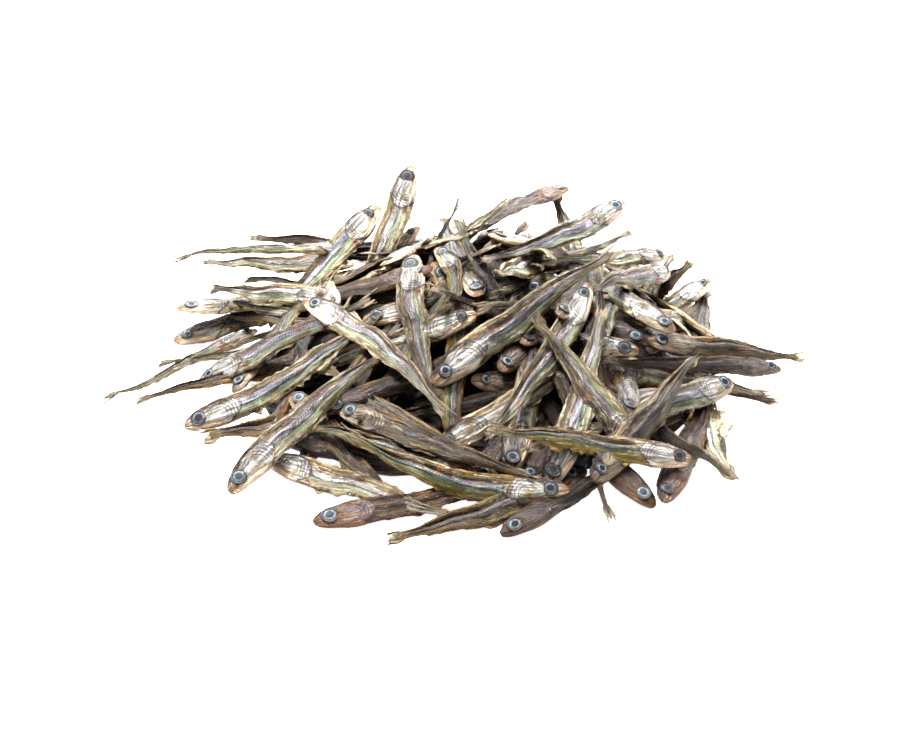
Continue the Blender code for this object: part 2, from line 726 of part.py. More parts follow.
def fuse(base, pieces):
    """One union of the base with all of the pieces, which are then removed."""
    group = bpy.data.collections.new("fish_to_fuse")
    for piece in pieces:
        group.objects.link(piece)
    join = base.modifiers.new("fused", "BOOLEAN")
    join.operation = "UNION"
    join.operand_type = "COLLECTION"
    join.collection = group
    join.solver = "MANIFOLD"
    bpy.context.view_layer.objects.active = base
    bpy.ops.object.modifier_apply(modifier=join.name)
    for piece in pieces:
        bpy.data.objects.remove(piece)
    bpy.data.collections.remove(group)


def main():
    """Builds the heap."""
    clear_scene()
    heap = core_solid("anchovy_heap")
    bpy.context.scene.collection.objects.link(heap)
    under, seen = laid_heap()
    pieces = [fish_solid("under_fish", fish, UNDER_SIDES, UNDER_STATIONS) for fish in under]
    pieces += [fish_solid("seen_fish", fish, SEEN_SIDES, SEEN_STATIONS) for fish in seen]
    fuse(heap, pieces)
    keep_largest(heap)
    heap.data.materials.append(dried_fish_material())


if __name__ == "__main__":
    main()
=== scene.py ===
"""The heap of dried anchovies, dressed: each fish with its skin, eyes, gill covers and tail.

Metres, +Z up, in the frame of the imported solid. The fish are laid by the rule that laid them in
the solid. Most rows are the solid's own; some were moved a few pixels, and some fish were added
in gaps, underneath and on the far side. A fish is modelled once for each way of drying, in its
own space: +X from nose to tail, +Y to its back and +Z out of its left flank. Each copy then
follows the line that its fish lies along.
"""

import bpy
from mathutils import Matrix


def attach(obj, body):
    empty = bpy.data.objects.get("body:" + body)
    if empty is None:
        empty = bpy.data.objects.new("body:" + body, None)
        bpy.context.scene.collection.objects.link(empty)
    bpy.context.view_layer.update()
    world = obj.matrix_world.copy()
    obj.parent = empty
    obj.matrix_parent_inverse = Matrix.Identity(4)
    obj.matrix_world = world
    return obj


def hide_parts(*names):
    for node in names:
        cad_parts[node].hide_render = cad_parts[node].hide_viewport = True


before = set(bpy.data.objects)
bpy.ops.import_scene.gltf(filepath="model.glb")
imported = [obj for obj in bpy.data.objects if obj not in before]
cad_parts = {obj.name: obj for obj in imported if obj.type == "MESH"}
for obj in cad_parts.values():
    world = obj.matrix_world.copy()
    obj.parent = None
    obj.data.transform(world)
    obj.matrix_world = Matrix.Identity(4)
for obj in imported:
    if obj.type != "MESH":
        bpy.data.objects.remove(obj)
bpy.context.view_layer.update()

import copy
import logging
import math
from dataclasses import dataclass, field
from enum import Enum
from typing import Callable, NamedTuple, Optional, Sequence, Union

import bpy
import numpy as np
from mathutils import Vector

LOG = logging.getLogger("anchovy_heap")
NODE = "anchovy_heap"
BODY = "root"
GOLDEN_ANGLE = math.pi * (3.0 - math.sqrt(5.0))
GOLDEN_SHARE = 0.618034
# The skin's measures and marks, for the model and its finishes alike.
LENGTH_MM = 60.0
HALF_DEPTH_MM = 4.2
GILL_END = 0.272
GILL_BOW = 0.085
GILL_MIDDLE = 0.1
JAW_SLOPE = 3.1

# What a fish's own number is multiplied by, to set its patterns and its looks apart.
TONE_SHIFT = 97.0
BROWN_STEP = 37.7
DARK_STEP = 91.3
EYE_STEP = 53.1
# Ambient occlusion for the painted shade in the gaps between fish: its samples, and its range.
GAP_SAMPLES = 8
GAP_RANGE = (0.10, 0.88)
Array = np.ndarray
Thing = bpy.types.Object
Pair = tuple[float, float]
Triple = tuple[float, float, float]
Heights = Callable[[Array, Array], Array]
Rgb = tuple[int, int, int]
WHITE = (1.0, 1.0, 1.0, 1.0)


class Look(Enum):
    """The colours that a fish has dried to."""

    SILVER = "silver"
    PALE = "pale"
    OLIVE = "olive"
    TAN = "tan"
    DARK = "dark"


class Build(Enum):
    """The form that a fish has dried to."""

    WHOLE = "whole"
    RAGGED = "ragged"
    LEAN = "lean"
    BURIED = "buried"


SILVER, PALE, OLIVE, TAN, DARK = Look
WHOLE, RAGGED, LEAN, BURIED = Build


class Seen(NamedTuple):
    """A fish as it shows: its layer in the heap, and the picture places of its nose and tail.

    Hidden names the end that other fish cover. The bow is how far its middle lies to the left of
    the straight line, in pixels; back says on which side its back is, where that isn't above;
    press leads it on, in metres.
    """

    layer: int
    nose: Pair
    tail: Pair
    girth: float = 1.0
    hidden: str = ""
    look: Look = SILVER
    build: Build = WHOLE
    bow: float = 0.0
    back: int = 0
    press: float = 0.0


class Laid(NamedTuple):
    """A fish at rest: its two ends, how its middle is bent aside, and which way it faces."""

    nose: Array
    tail: Array
    bend: Array
    flank: Array
    girth: float


# Mostly pale at the back: partly the fish's own colour, partly painted light for the brighter far
# side.
BACK_LEFT = (
    Seen(1, (325, 231), (250, 237), 1.00, "nose", DARK),
    Seen(2, (318, 240), (176, 257), 0.60, "nose", PALE, LEAN, bow=-4),
    Seen(3, (355, 264), (203, 263), 0.95, look=PALE),
    Seen(2, (335, 298), (210, 289), 0.85, look=PALE),
    Seen(2, (330, 284), (245, 279), 0.90, "nose", PALE),
    Seen(1, (330, 320), (215, 300), 0.60, "nose", PALE, LEAN),
    Seen(1, (340, 325), (222, 316), 0.60, "nose", TAN, LEAN),
    Seen(2, (176, 309), (320, 300), 0.90, "tail", PALE),
    Seen(1, (300, 310), (105, 401), 0.55, "nose", PALE, LEAN),
    Seen(3, (173, 342), (310, 291), 1.00, "tail"),
    Seen(2, (260, 345), (158, 364), 0.50, "nose", PALE),
    Seen(4, (198, 383), (365, 298), 1.00, "tail"),
    Seen(2, (300, 356), (136, 401), 0.65, "nose", TAN, press=0.003),
)
FRONT_LEFT = (
    Seen(4, (183, 427), (378, 312), 1.00, build=RAGGED, bow=-12),
    Seen(3, (478, 314), (300, 365), 0.95, "tail", PALE),
    Seen(5, (229, 495), (395, 350), 1.05, bow=11),
    Seen(3, (264, 458), (455, 518), 0.95, look=PALE, build=RAGGED),
    Seen(3, (280, 440), (400, 485), 0.75, "tail", DARK),
    Seen(2, (311, 523), (505, 507), 0.95, "tail", DARK),
    Seen(3, (560, 503), (386, 537), 1.05, "nose", TAN, bow=10),
    Seen(5, (570, 490), (345, 432), 0.95, look=OLIVE, bow=20),
    Seen(4, (440, 500), (303, 424), 0.90, "nose", OLIVE),
    Seen(4, (345, 420), (530, 478), 0.90, "nose", TAN),
    Seen(4, (468, 470), (340, 405), 0.90, "tail", OLIVE),
    Seen(3, (442, 441), (396, 428), 0.70, "tail", DARK),
    Seen(4, (321, 413), (435, 368), 0.75, "tail", DARK, RAGGED),
    Seen(3, (335, 417), (405, 388), 0.45, "tail", DARK, LEAN),
    Seen(3, (535, 393), (356, 417), 0.70, "nose", TAN, bow=8),
)
CENTRE = (
    Seen(3, (436, 451), (600, 360), 1.00, "tail", PALE),
    Seen(5, (415, 254), (443, 401), 1.00, bow=-14, back=-1, press=0.001),
    Seen(3, (303, 300), (447, 413), 0.90, bow=10),
    Seen(4, (590, 283), (484, 436), 0.90, bow=8),
    Seen(6, (432, 386), (615, 252), 1.10, bow=5),
    Seen(5, (478, 297), (449, 212), 0.95, "tail", back=-1),
    Seen(4, (525, 350), (458, 216), 0.95, "nose", back=-1),
    Seen(4, (385, 310), (458, 200), 0.45, "nose", TAN, LEAN),
    Seen(3, (435, 248), (425, 322), 0.70, look=OLIVE, build=LEAN, bow=26, back=1),
    Seen(4, (414, 165), (349, 275), 1.05, "tail", PALE, back=-1),
    Seen(3, (380, 206), (290, 264), 1.20, "tail"),
    Seen(2, (420, 226), (378, 248), 0.70, "tail", PALE),
    Seen(3, (430, 238), (345, 282), 0.80, "nose", PALE),
    Seen(3, (410, 260), (335, 296), 0.90, "nose", TAN),
    Seen(4, (326, 296), (435, 275), 0.85, "tail"),
    Seen(4, (362, 322), (465, 270), 0.90, "tail"),
    Seen(2, (432, 262), (480, 330), 0.90, "tail", PALE),
    Seen(3, (586, 302), (530, 245), 0.90, "tail", TAN),
    Seen(2, (560, 318), (610, 250), 0.90, "tail", TAN),
    Seen(2, (522, 345), (600, 290), 0.90, "tail", TAN),
    Seen(2, (500, 372), (580, 310), 0.90, "tail", DARK),
)
FRONT_RIGHT = (
    Seen(5, (634, 452), (536, 318), 1.05, "nose", back=1),
    Seen(6, (693, 461), (490, 427), 0.90, look=OLIVE, build=RAGGED),
    Seen(3, (512, 474), (548, 330), 1.00, "tail", back=1),
    Seen(4, (548, 487), (612, 275), 1.05, "tail", bow=-6, back=1),
    Seen(2, (536, 432), (560, 360), 0.75, "tail", DARK, back=1),
    Seen(3, (655, 508), (520, 380), 0.90, "tail", DARK),
    Seen(4, (663, 503), (731, 403), 0.95, "tail", DARK, back=1),
    Seen(3, (545, 330), (613, 521), 0.75, "nose", TAN, LEAN),
    Seen(2, (562, 488), (630, 410), 0.90, "tail", DARK),
    Seen(2, (527, 488), (570, 420), 0.90, "tail", DARK),
    Seen(3, (500, 536), (680, 431), 0.78, "tail", DARK, LEAN),
    Seen(3, (580, 464), (493, 491), 0.55, "nose", OLIVE, LEAN),
    Seen(5, (612, 490), (698, 356), 1.05, "nose", TAN),
    Seen(5, (622, 397), (736, 480), 0.95, "nose", TAN, LEAN),
    Seen(3, (713, 386), (729, 474), 1.60, "nose", PALE, RAGGED, back=-1),
    Seen(3, (724, 396), (735, 476), 0.75, "nose", TAN, LEAN, back=-1),
    Seen(4, (734, 382), (600, 430), 1.00, "tail"),
    Seen(4, (632, 418), (655, 360), 0.95, "tail", OLIVE, back=1),
    Seen(3, (625, 365), (618, 430), 0.60, "nose", TAN),
    Seen(4, (650, 360), (596, 393), 0.55, "nose", TAN, LEAN),
    Seen(2, (690, 410), (660, 440), 0.80, "tail", DARK),
)
# Many of these back fish are pale: partly their own colour, partly painted light for the brighter
# far side.
BACK_RIGHT = (
    Seen(4, (646, 342), (803, 357), 0.95, look=TAN, press=-0.006),
    Seen(4, (782, 369), (603, 360), 0.75, look=DARK),
    Seen(3, (630, 370), (768, 394), 1.05, "nose", PALE),
    Seen(2, (690, 380), (780, 401), 0.90, "nose", DARK),
    Seen(3, (663, 315), (673, 252), 0.85, "nose", PALE, back=1),
    Seen(2, (690, 308), (692, 262), 1.00, "nose", TAN, back=1),
    Seen(2, (704, 372), (709, 288), 1.35, "nose", TAN, back=1),
    Seen(2, (712, 280), (665, 320), 0.80, "tail", PALE),
    Seen(3, (697, 325), (610, 305), 0.95, "tail", PALE),
    Seen(5, (675, 333), (560, 230), 1.00, "tail"),
    Seen(5, (670, 271), (520, 300), 0.85, "tail", build=RAGGED),
    Seen(3, (667, 256), (530, 262), 0.80, "tail", PALE),
    Seen(2, (540, 262), (632, 232), 0.70, "nose", PALE, LEAN),
    Seen(4, (626, 202), (478, 262), 0.95, bow=7),
    Seen(3, (569, 187), (441, 249), 1.05, "tail", DARK, bow=-5),
    Seen(3, (468, 262), (527, 225), 0.90, "nose", DARK, LEAN),
    Seen(2, (577, 251), (556, 196), 1.10, "nose", PALE, back=1),
    Seen(4, (440, 236), (508, 198), 1.00, "nose", PALE),
    Seen(2, (548, 238), (478, 246), 0.60, "tail", PALE, LEAN),
    Seen(2, (595, 262), (500, 268), 0.70, "tail", PALE, LEAN),
    Seen(2, (548, 280), (505, 296), 0.80, "tail", OLIVE),
    Seen(4, (640, 352), (560, 335), 0.85, "tail"),
    Seen(3, (650, 345), (600, 300), 0.80, "tail", DARK),
)
SEEN_FISH = BACK_LEFT + FRONT_LEFT + CENTRE + FRONT_RIGHT + BACK_RIGHT

# Fish deep in the gaps between those above, where the photograph shows fish and not floor.
GAP_FISH = (
    Seen(1, (352, 295), (440, 255), 1.10, "tail", PALE),
    Seen(1, (560, 250), (496, 276), 1.00, "nose", PALE),
    Seen(1, (640, 266), (580, 272), 0.90, "tail", PALE),
    Seen(1, (300, 318), (228, 345), 0.90, "nose", SILVER),
    Seen(1, (330, 432), (236, 402), 0.85, "nose", TAN),
    Seen(1, (565, 378), (468, 416), 0.90, "tail", DARK),
    Seen(1, (470, 380), (545, 412), 0.90, "tail", TAN),
    Seen(1, (690, 300), (668, 345), 0.95, "tail", PALE),
    Seen(1, (430, 240), (350, 248), 0.95, "tail", PALE),
    Seen(2, (325, 424), (203, 436), 1.30, "nose", TAN),
    Seen(1, (352, 464), (440, 494), 0.90, "tail", DARK),
)


@dataclass(frozen=True)
class FishSize:
    """The sizes of one whole dried fish, in metres."""

    length: float = 0.060
    longest: float = 0.066
    depth: float = 0.0084
    thickness: float = 0.0032

    def outline(self, s: Array) -> tuple[Array, Array, Array]:
        """Half depths above and below the spine, and half thickness.

        Args:
            s: Shares of the length, from the nose.

        Returns:
            The three sizes in metres at each share.
        """
        at = (0.0, 0.05, 0.13, 0.22, 0.34, 0.50, 0.66, 0.80, 0.88, 0.94, 1.0)
        above = (0.05, 0.46, 0.86, 1.00, 0.98, 0.86, 0.66, 0.43, 0.27, 0.32, 0.40)
        below = (0.07, 0.46, 0.84, 1.00, 1.00, 0.88, 0.64, 0.38, 0.24, 0.30, 0.38)
        thick = (0.10, 0.45, 0.85, 1.00, 0.98, 0.84, 0.64, 0.42, 0.28, 0.22, 0.14)
        return (
            np.interp(s, at, above) * self.depth / 2,
            np.interp(s, at, below) * self.depth / 2,
            np.interp(s, at, thick) * self.thickness / 2,
        )


@dataclass(frozen=True)
class HeapForm:
    """The heap as a low cone with a blunt top, and the mound of hidden fish in it."""

    radius_x: float = 0.092
    radius_y: float = 0.084
    height: float = 0.050
    centre_x: float = -0.003
    centre_y: float = 0.002
    bluntness: float = 0.15
    layers: int = 6
    layer_height: float = 0.0022
    core_share: float = 0.78

    def surface(self, x: Array, y: Array) -> Array:
        """The heap's outer surface over each spot, below zero past its rim.

        Args:
            x: How far right each spot is.
            y: How far back it is.

        Returns:
            The heights.
        """
        reach = np.hypot((x - self.centre_x) / self.radius_x, (y - self.centre_y) / self.radius_y)
        fall = np.hypot(reach, self.bluntness) - self.bluntness
        return self.height * (1.0 - fall / (math.hypot(1.0, self.bluntness) - self.bluntness))

    def shell(self, x: Array, y: Array, layer: float) -> Array:
        """The surface that the fish of one layer lie on, down to the floor."""
        under = (self.layers + 1 - layer) * self.layer_height
        return np.maximum(self.surface(x, y) - under, 0.0)

    def core(self, x: Array, y: Array) -> Array:
        """The core's upper surface, the same cone at a smaller size.

        Args:
            x: How far right each spot is.
            y: How far back it is.

        Returns:
            The heights.
        """
        inner = self.surface(
            self.centre_x + (x - self.centre_x) / self.core_share,
            self.centre_y + (y - self.centre_y) / self.core_share,
        )
        return np.maximum(inner * self.core_share, 0.0)


@dataclass(frozen=True)
class Sight:
    """Where the heap is looked at from, which turns a picture place into a sight line."""

    distance: float = 0.480
    elevation: float = math.radians(28.0)
    focal_px: float = 1647.0
    centre_px: Pair = (456.0, 375.5)
    base_px: Pair = (490.0, 378.0)
    nearest: float = 0.330
    farthest: float = 0.640
    step: float = 0.0005
    back_limit: Pair = (0.110, 0.052)

    def axes(self) -> tuple[Array, Array, Array, Array]:
        """The eye's place and its three directions: ahead, right and up.

        Returns:
            The place, and the directions.
        """
        ahead = np.array([0.0, math.cos(self.elevation), -math.sin(self.elevation)])
        right = np.array([1.0, 0.0, 0.0])
        up = np.cross(right, ahead)
        scale = self.distance / self.focal_px
        aside = (self.centre_px[0] - self.base_px[0]) * scale
        above = (self.base_px[1] - self.centre_px[1]) * scale
        eye = right * aside + up * above - ahead * self.distance
        return eye, ahead, right, up

    def lines(self, places: Array) -> tuple[Array, Array]:
        """The start and the direction of the sight line through each picture place.

        Args:
            places: The picture places, in pixels.

        Returns:
            The starts and the directions.
        """
        eye, ahead, right, up = self.axes()
        across = (places[:, :1] - self.centre_px[0]) * right
        rise = (self.centre_px[1] - places[:, 1:]) * up
        headings = ahead * self.focal_px + across + rise
        headings = headings / np.linalg.norm(headings, axis=1, keepdims=True)
        return np.repeat(eye[None], len(places), axis=0), headings

    def picture_place(self, points: Array) -> Array:
        """Where points in space show in the picture, in pixels.

        Args:
            points: The points.

        Returns:
            Their picture places.
        """
        eye, ahead, right, up = self.axes()
        away = points - eye
        depth = away @ ahead
        return np.stack(
            [
                self.centre_px[0] + self.focal_px * (away @ right) / depth,
                self.centre_px[1] - self.focal_px * (away @ up) / depth,
            ],
            axis=-1,
        )

    def march(self, starts: Array, headings: Array, height_at: Heights) -> Array:
        """How far along each sight line a surface, or the heap's far limit, is met.

        Args:
            starts: The lines' starts.
            headings: The lines' directions.
            height_at: A function of x and y that gives the surface's height.

        Returns:
            The distance along each line, in metres.
        """
        steps = np.arange(self.nearest, self.farthest, self.step)
        places = starts[:, None] + headings[:, None] * steps[None, :, None]
        x, y, z = places[..., 0], places[..., 1], places[..., 2]
        limit_x, limit_y = self.back_limit
        beyond = (y > 0.0) & ((x / limit_x) ** 2 + (y / limit_y) ** 2 > 1.0)
        return steps[((z < height_at(x, y)) | beyond).argmax(axis=1)]


FISH = FishSize()
HEAP = HeapForm()
SIGHT = Sight()
UP = np.array([0.0, 0.0, 1.0])


def unit(vector: Array) -> Array:
    """The vector at length one."""
    return vector / np.linalg.norm(vector)


def frames(fish: Laid, s: Array) -> tuple[Array, Array, Array]:
    """The line that a fish lies along.

    Args:
        fish: The fish at rest.
        s: Shares of its length, from the nose.

    Returns:
        The spine's points and, at each, the direction of the back and of the upper flank.
    """
    chord = fish.tail - fish.nose
    arch = (4.0 * s * (1.0 - s))[:, None]
    spine = fish.nose + s[:, None] * chord + arch * fish.bend
    run = chord + (4.0 - 8.0 * s)[:, None] * fish.bend
    run = run / np.linalg.norm(run, axis=1, keepdims=True)
    side = np.cross(fish.flank, run)
    side = side / np.linalg.norm(side, axis=1, keepdims=True)
    return spine, side, np.cross(run, side)


def skin_points(fish: Laid, along: int, around: int) -> Array:
    """Points all over the skin of a fish, in rows from nose to tail.

    Args:
        fish: The fish at rest.
        along: How many rows.
        around: How many points in each row.

    Returns:
        The points, by row.
    """
    s = np.linspace(0.0, 1.0, along)
    turn = np.linspace(0.0, 2.0 * math.pi, around)
    spine, side, flank = frames(fish, s)
    upper, lower, thick = FISH.outline(s)
    depth = np.where(np.cos(turn) > 0.0, upper[:, None], lower[:, None]) * np.cos(turn)
    high = thick[:, None] * np.sin(turn)
    return (
        spine[:, None]
        + side[:, None] * (depth * fish.girth)[..., None]
        + flank[:, None] * high[..., None]
    )


@dataclass
class Ground:
    """What has been laid so far, as a height over each spot of the floor."""

    step: float = 0.001
    half_x: float = 0.125
    half_y: float = 0.110
    skin_rows: tuple[int, int] = (90, 33)

    def __post_init__(self) -> None:
        """Starts with the core alone."""
        self.x = np.arange(-self.half_x, self.half_x, self.step)
        self.y = np.arange(-self.half_y, self.half_y, self.step)
        self.height = HEAP.core(self.x[:, None], self.y[None, :])
        self.spread()

    def spread(self) -> None:
        """Widens every hump by one step, so that a fish's side clears it too."""
        wide = self.height.copy()
        for axis in (0, 1):
            for shift in (-1, 1):
                wide = np.maximum(wide, np.roll(wide, shift, axis=axis))
        self.wide = wide

    def cells(self, x: Array, y: Array) -> tuple[Array, Array]:
        """The grid cell of each place, held inside the grid.

        Args:
            x: How far right each place is.
            y: How far back it is.

        Returns:
            The two numbers of each cell.
        """
        i = np.clip(((x + self.half_x) / self.step).astype(int), 0, len(self.x) - 1)
        j = np.clip(((y + self.half_y) / self.step).astype(int), 0, len(self.y) - 1)
        return i, j

    def drop(self, starts: Array) -> Array:
        """How far below each place the ground is met."""
        i, j = self.cells(starts[:, 0], starts[:, 1])
        return starts[:, 2] - self.wide[i, j]

    def normal(self, place: Array, reach: float = 0.012) -> Array:
        """The ground's mean direction around a place.

        Args:
            place: The place.
            reach: How far round it the ground counts.

        Returns:
            The direction, of length one.
        """
        i, j = self.cells(np.array([place[0]]), np.array([place[1]]))
        n = int(reach / self.step)
        patch = self.height[max(i[0] - n, 0) : i[0] + n + 1, max(j[0] - n, 0) : j[0] + n + 1]
        slope_x = np.diff(patch, axis=0).mean() / self.step
        slope_y = np.diff(patch, axis=1).mean() / self.step
        return unit(np.array([-slope_x, -slope_y, 1.0]))

    def add(self, fish: Laid) -> None:
        """Raises the ground by the fish's upper surface.

        Args:
            fish: The fish at rest.
        """
        skin = skin_points(fish, *self.skin_rows)
        np.maximum.at(self.height, self.cells(skin[..., 0], skin[..., 1]), skin[..., 2])
        self.spread()


@dataclass
class Sightings:
    """How far off the heap, or the floor, is met along the sight line through each picture cell."""

    cell_px: float = 2.0
    left_px: float = 90.0
    top_px: float = 140.0
    columns: int = 375
    rows: int = 215
    air_gap: float = 0.0020
    skin_rows: tuple[int, int] = (150, 25)

    def __post_init__(self) -> None:
        """Looks at the bare core and the floor."""
        core_rows = []
        floor_rows = []
        u = self.left_px + self.cell_px * (np.arange(self.columns) + 0.5)
        for row in range(self.rows):
            v = np.full_like(u, self.top_px + self.cell_px * (row + 0.5))
            starts, headings = SIGHT.lines(np.stack([u, v], axis=1))
            away = SIGHT.march(starts, headings, HEAP.core)
            met = starts + headings * away[:, None]
            in_air = met[:, 2] > HEAP.core(met[:, 0], met[:, 1]) + self.air_gap
            on_floor = met[:, 2] < self.air_gap
            core_rows.append(np.where(in_air | on_floor, np.inf, away))
            floor_rows.append(np.where(on_floor, away, np.inf))
        self.distance = np.array(core_rows)
        self.floor = np.array(floor_rows)

    def cells(self, places: Array) -> tuple[Array, Array]:
        """The row and column of each picture place.

        Args:
            places: The picture places, in pixels.

        Returns:
            The rows and the columns.
        """
        column = ((places[..., 0] - self.left_px) / self.cell_px).astype(int)
        row = ((places[..., 1] - self.top_px) / self.cell_px).astype(int)
        return np.clip(row, 0, self.rows - 1), np.clip(column, 0, self.columns - 1)

    def contact(self, places: Array, left: Array, half_widths: Array) -> Array:
        """The nearest distance across the body at each place along it.

        Args:
            places: The picture places along the fish.
            left: The direction across it.
            half_widths: How far it reaches to each side, in pixels.

        Returns:
            The distances.
        """
        across = np.linspace(-1.0, 1.0, 5)
        wide = places[:, None] + (half_widths[:, None] * across)[..., None] * left
        cells = self.cells(wide)
        return np.minimum(self.distance[cells], self.floor[cells]).min(axis=1)

    def add(self, fish: Laid) -> None:
        """Brings the sight lines that meet the fish forward to its skin.

        Args:
            fish: The fish at rest.
        """
        skin = skin_points(fish, *self.skin_rows)
        away = np.linalg.norm(skin - SIGHT.axes()[0], axis=-1)
        np.minimum.at(self.distance, self.cells(SIGHT.picture_place(skin)), away)


class Spot(NamedTuple):
    """Where a fish underneath comes down, and how it lies."""

    x: float
    y: float
    heading: float
    length: float
    girth: float
    bow: float
    roll: float
    layer: float = 0.0


@dataclass(frozen=True)
class Spread:
    """How widely the fish underneath differ in length and girth, in bow and in roll."""

    lengths: Pair = (0.050, 0.060)
    girths: Pair = (0.75, 1.0)
    most_bow: float = 0.003
    most_roll: float = 25.0

    def spot(self, rng: np.random.Generator, place: Pair, turn: Optional[float] = None) -> Spot:
        """Draws how a fish lies at a place.

        Args:
            rng: Where the draws come from.
            place: The place on the floor.
            turn: Which way it points, in degrees, or None where that is drawn too.

        Returns:
            The spot, without its layer.
        """
        heading = rng.uniform(0.0, 2.0 * math.pi) if turn is None else math.radians(turn)
        return Spot(
            *place,
            heading,
            length=rng.uniform(*self.lengths),
            girth=rng.uniform(*self.girths),
            bow=rng.uniform(-self.most_bow, self.most_bow),
            roll=rng.uniform(-self.most_roll, self.most_roll),
        )


def spiral_place(turn: float, reach: float) -> Pair:
    """A place on the floor at an angle from the heap's centre and a share of its radius.

    Args:
        turn: The angle, in radians.
        reach: The share.

    Returns:
        The place.
    """
    return (
        HEAP.centre_x + reach * HEAP.radius_x * math.cos(turn),
        HEAP.centre_y + reach * HEAP.radius_y * math.sin(turn),
    )


@dataclass(frozen=True)
class Resting:
    """How a fish lies: where it balances, how deep it beds, and how much of it then touches."""

    ray_count: int = 15
    balance: float = 0.42
    sink: float = 0.0009
    overlap: float = 0.0006
    touching_share: float = 0.03
    most_lead: float = 0.0020
    rounds: int = 2
    touching_rows: tuple[int, int] = (5, -9)
    skew: float = 0.8
    most_lift: float = 0.0030
    most_fall: float = 0.0250
    pressed_share: float = 0.8
    dive: float = 0.8
    buried_height: float = 0.006
    most_sag: float = 0.0012
    most_droop: float = 0.0018
    facing: float = 0.45
    floor_gap: float = 0.0005

    def line(self, s: Array, depth: Array) -> Pair:
        """The depths at both ends of the line that lies on the ground under the middle.

        Args:
            s: Shares of the length.
            depth: How deep the ground is met at each.

        Returns:
            The depths of the nose and the tail.
        """
        best = None
        for i in range(len(s)):
            for j in range(i + 1, len(s)):
                if not s[i] <= self.balance <= s[j]:
                    continue
                slope = (depth[j] - depth[i]) / (s[j] - s[i])
                start = depth[i] - slope * s[i]
                if (start + slope * s > depth + 1e-9).any():
                    continue
                value = start + slope * self.balance
                if best is None or value > best[0]:
                    best = (value, start, start + slope)
        return best[1], best[2]

    def settled(self, line: Array, contact: Array) -> float:
        """How far a fish gives way along its lines: down until it touches, or a little up.

        Args:
            line: The depths that it lies at.
            contact: The depths at which it touches.

        Returns:
            How far down, or below zero for up.
        """
        over = np.maximum(line - contact, -self.most_fall)
        if over.max() < 0.0:
            return -over.max() if over.max() > -self.most_fall else 0.0
        return -min(np.quantile(over, self.pressed_share), self.most_lift)

    def buried(self, shown: Array, end: Array) -> Array:
        """The hidden end, cut back or led on into the heap to give the fish its whole length.

        Args:
            shown: The end that shows.
            end: The hidden end.

        Returns:
            The hidden end's new place.
        """
        run = end - shown
        short = FISH.length - np.linalg.norm(run)
        if short <= 0.0:
            return end + unit(run) * short
        inward = unit(np.array([HEAP.centre_x, HEAP.centre_y, self.buried_height]) - end)
        deep = end + unit(unit(run) + self.dive * inward) * short
        return np.array([deep[0], deep[1], max(deep[2], self.buried_height)])

    def near_end(self, fixed: Array, start: Array, heading: Array, depth: float) -> float:
        """The depth of the free end, drawn in until the fish is no longer than it may be.

        Args:
            fixed: The other end.
            start: Where the free end's sight line starts.
            heading: That line's direction.
            depth: The free end's depth so far.

        Returns:
            The depth.
        """
        for _ in range(400):
            if np.linalg.norm(start + heading * depth - fixed) <= FISH.longest:
                break
            if (start + heading * depth - fixed) @ heading <= 0.0:
                break
            depth -= SIGHT.step
        return depth

    def faced(
        self, ground: Ground, middle: Array, run: Array, hint: Array, roll: float, facing: float
    ) -> Array:
        """The direction that the upper flank faces, with the back towards the hint.

        Args:
            ground: The heights laid so far.
            middle: The fish's middle.
            run: The direction from nose to tail.
            hint: Where the back points, roughly.
            roll: How far the fish is rolled on, in degrees.
            facing: How far it turns to the eye, from 0 to 1.

        Returns:
            The direction.
        """
        eye = SIGHT.axes()[0]
        flank = unit((1.0 - facing) * ground.normal(middle) + facing * unit(eye - middle))
        flank = unit(flank - run * (flank @ run))
        if np.cross(flank, run) @ hint < 0.0:
            flank = -flank
        turn = math.radians(roll)
        return unit(flank * math.cos(turn) + np.cross(run, flank) * math.sin(turn))

    def drape(self, s: Array, depth: Array, line: Array) -> float:
        """How far the middle gives way between its rests, or the ends droop past them.

        Args:
            s: Shares of the length.
            depth: How deep the ground is.
            line: How deep the fish is.

        Returns:
            How far, in metres.
        """
        gap = depth - line
        give = 0.5 * (gap[len(s) // 2] - (gap[0] + gap[-1]) / 2)
        return float(np.clip(give, -self.most_droop, self.most_sag))

    def lifted(self, fish: Laid, nose_way: Array = UP, tail_way: Array = UP) -> Laid:
        """The same fish, with each end raised clear of the floor, straight up or along a line.

        Args:
            fish: The fish.
            nose_way: The direction that its nose is raised in.
            tail_way: The direction that its tail is raised in.

        Returns:
            The fish, clear of the floor.
        """
        s = np.linspace(0.0, 1.0, 25)
        spine, side, flank = frames(fish, s)
        upper, lower, thick = FISH.outline(s)
        reach = np.maximum(upper, lower) * fish.girth * np.abs(side[:, 2])
        short = self.floor_gap + np.maximum(reach, thick * np.abs(flank[:, 2])) - spine[:, 2]
        nose = fish.nose + nose_way / nose_way[2] * max(short[s < 0.5].max(), 0.0)
        tail = fish.tail + tail_way / tail_way[2] * max(short[s >= 0.5].max(), 0.0)
        return fish._replace(nose=nose, tail=tail)

    def bedded(self, fish: Laid, heading: Array, sightings: Sightings) -> Laid:
        """The same fish, led on down its sight line where it would hang clear of the heap.

        Args:
            fish: The fish.
            heading: Its sight line's direction.
            sightings: The distances laid so far.

        Returns:
            The fish, touching the heap.
        """
        body = skin_points(fish, 60, 13)[slice(*self.touching_rows)]
        away = np.linalg.norm(body - SIGHT.axes()[0], axis=-1)
        gap = sightings.distance[sightings.cells(SIGHT.picture_place(body))] - away
        clear = np.sort(gap, axis=None)[int(gap.size * self.touching_share)]
        on = heading * min(max(clear + self.overlap, 0.0), self.most_lead)
        return fish._replace(nose=fish.nose + on, tail=fish.tail + on)

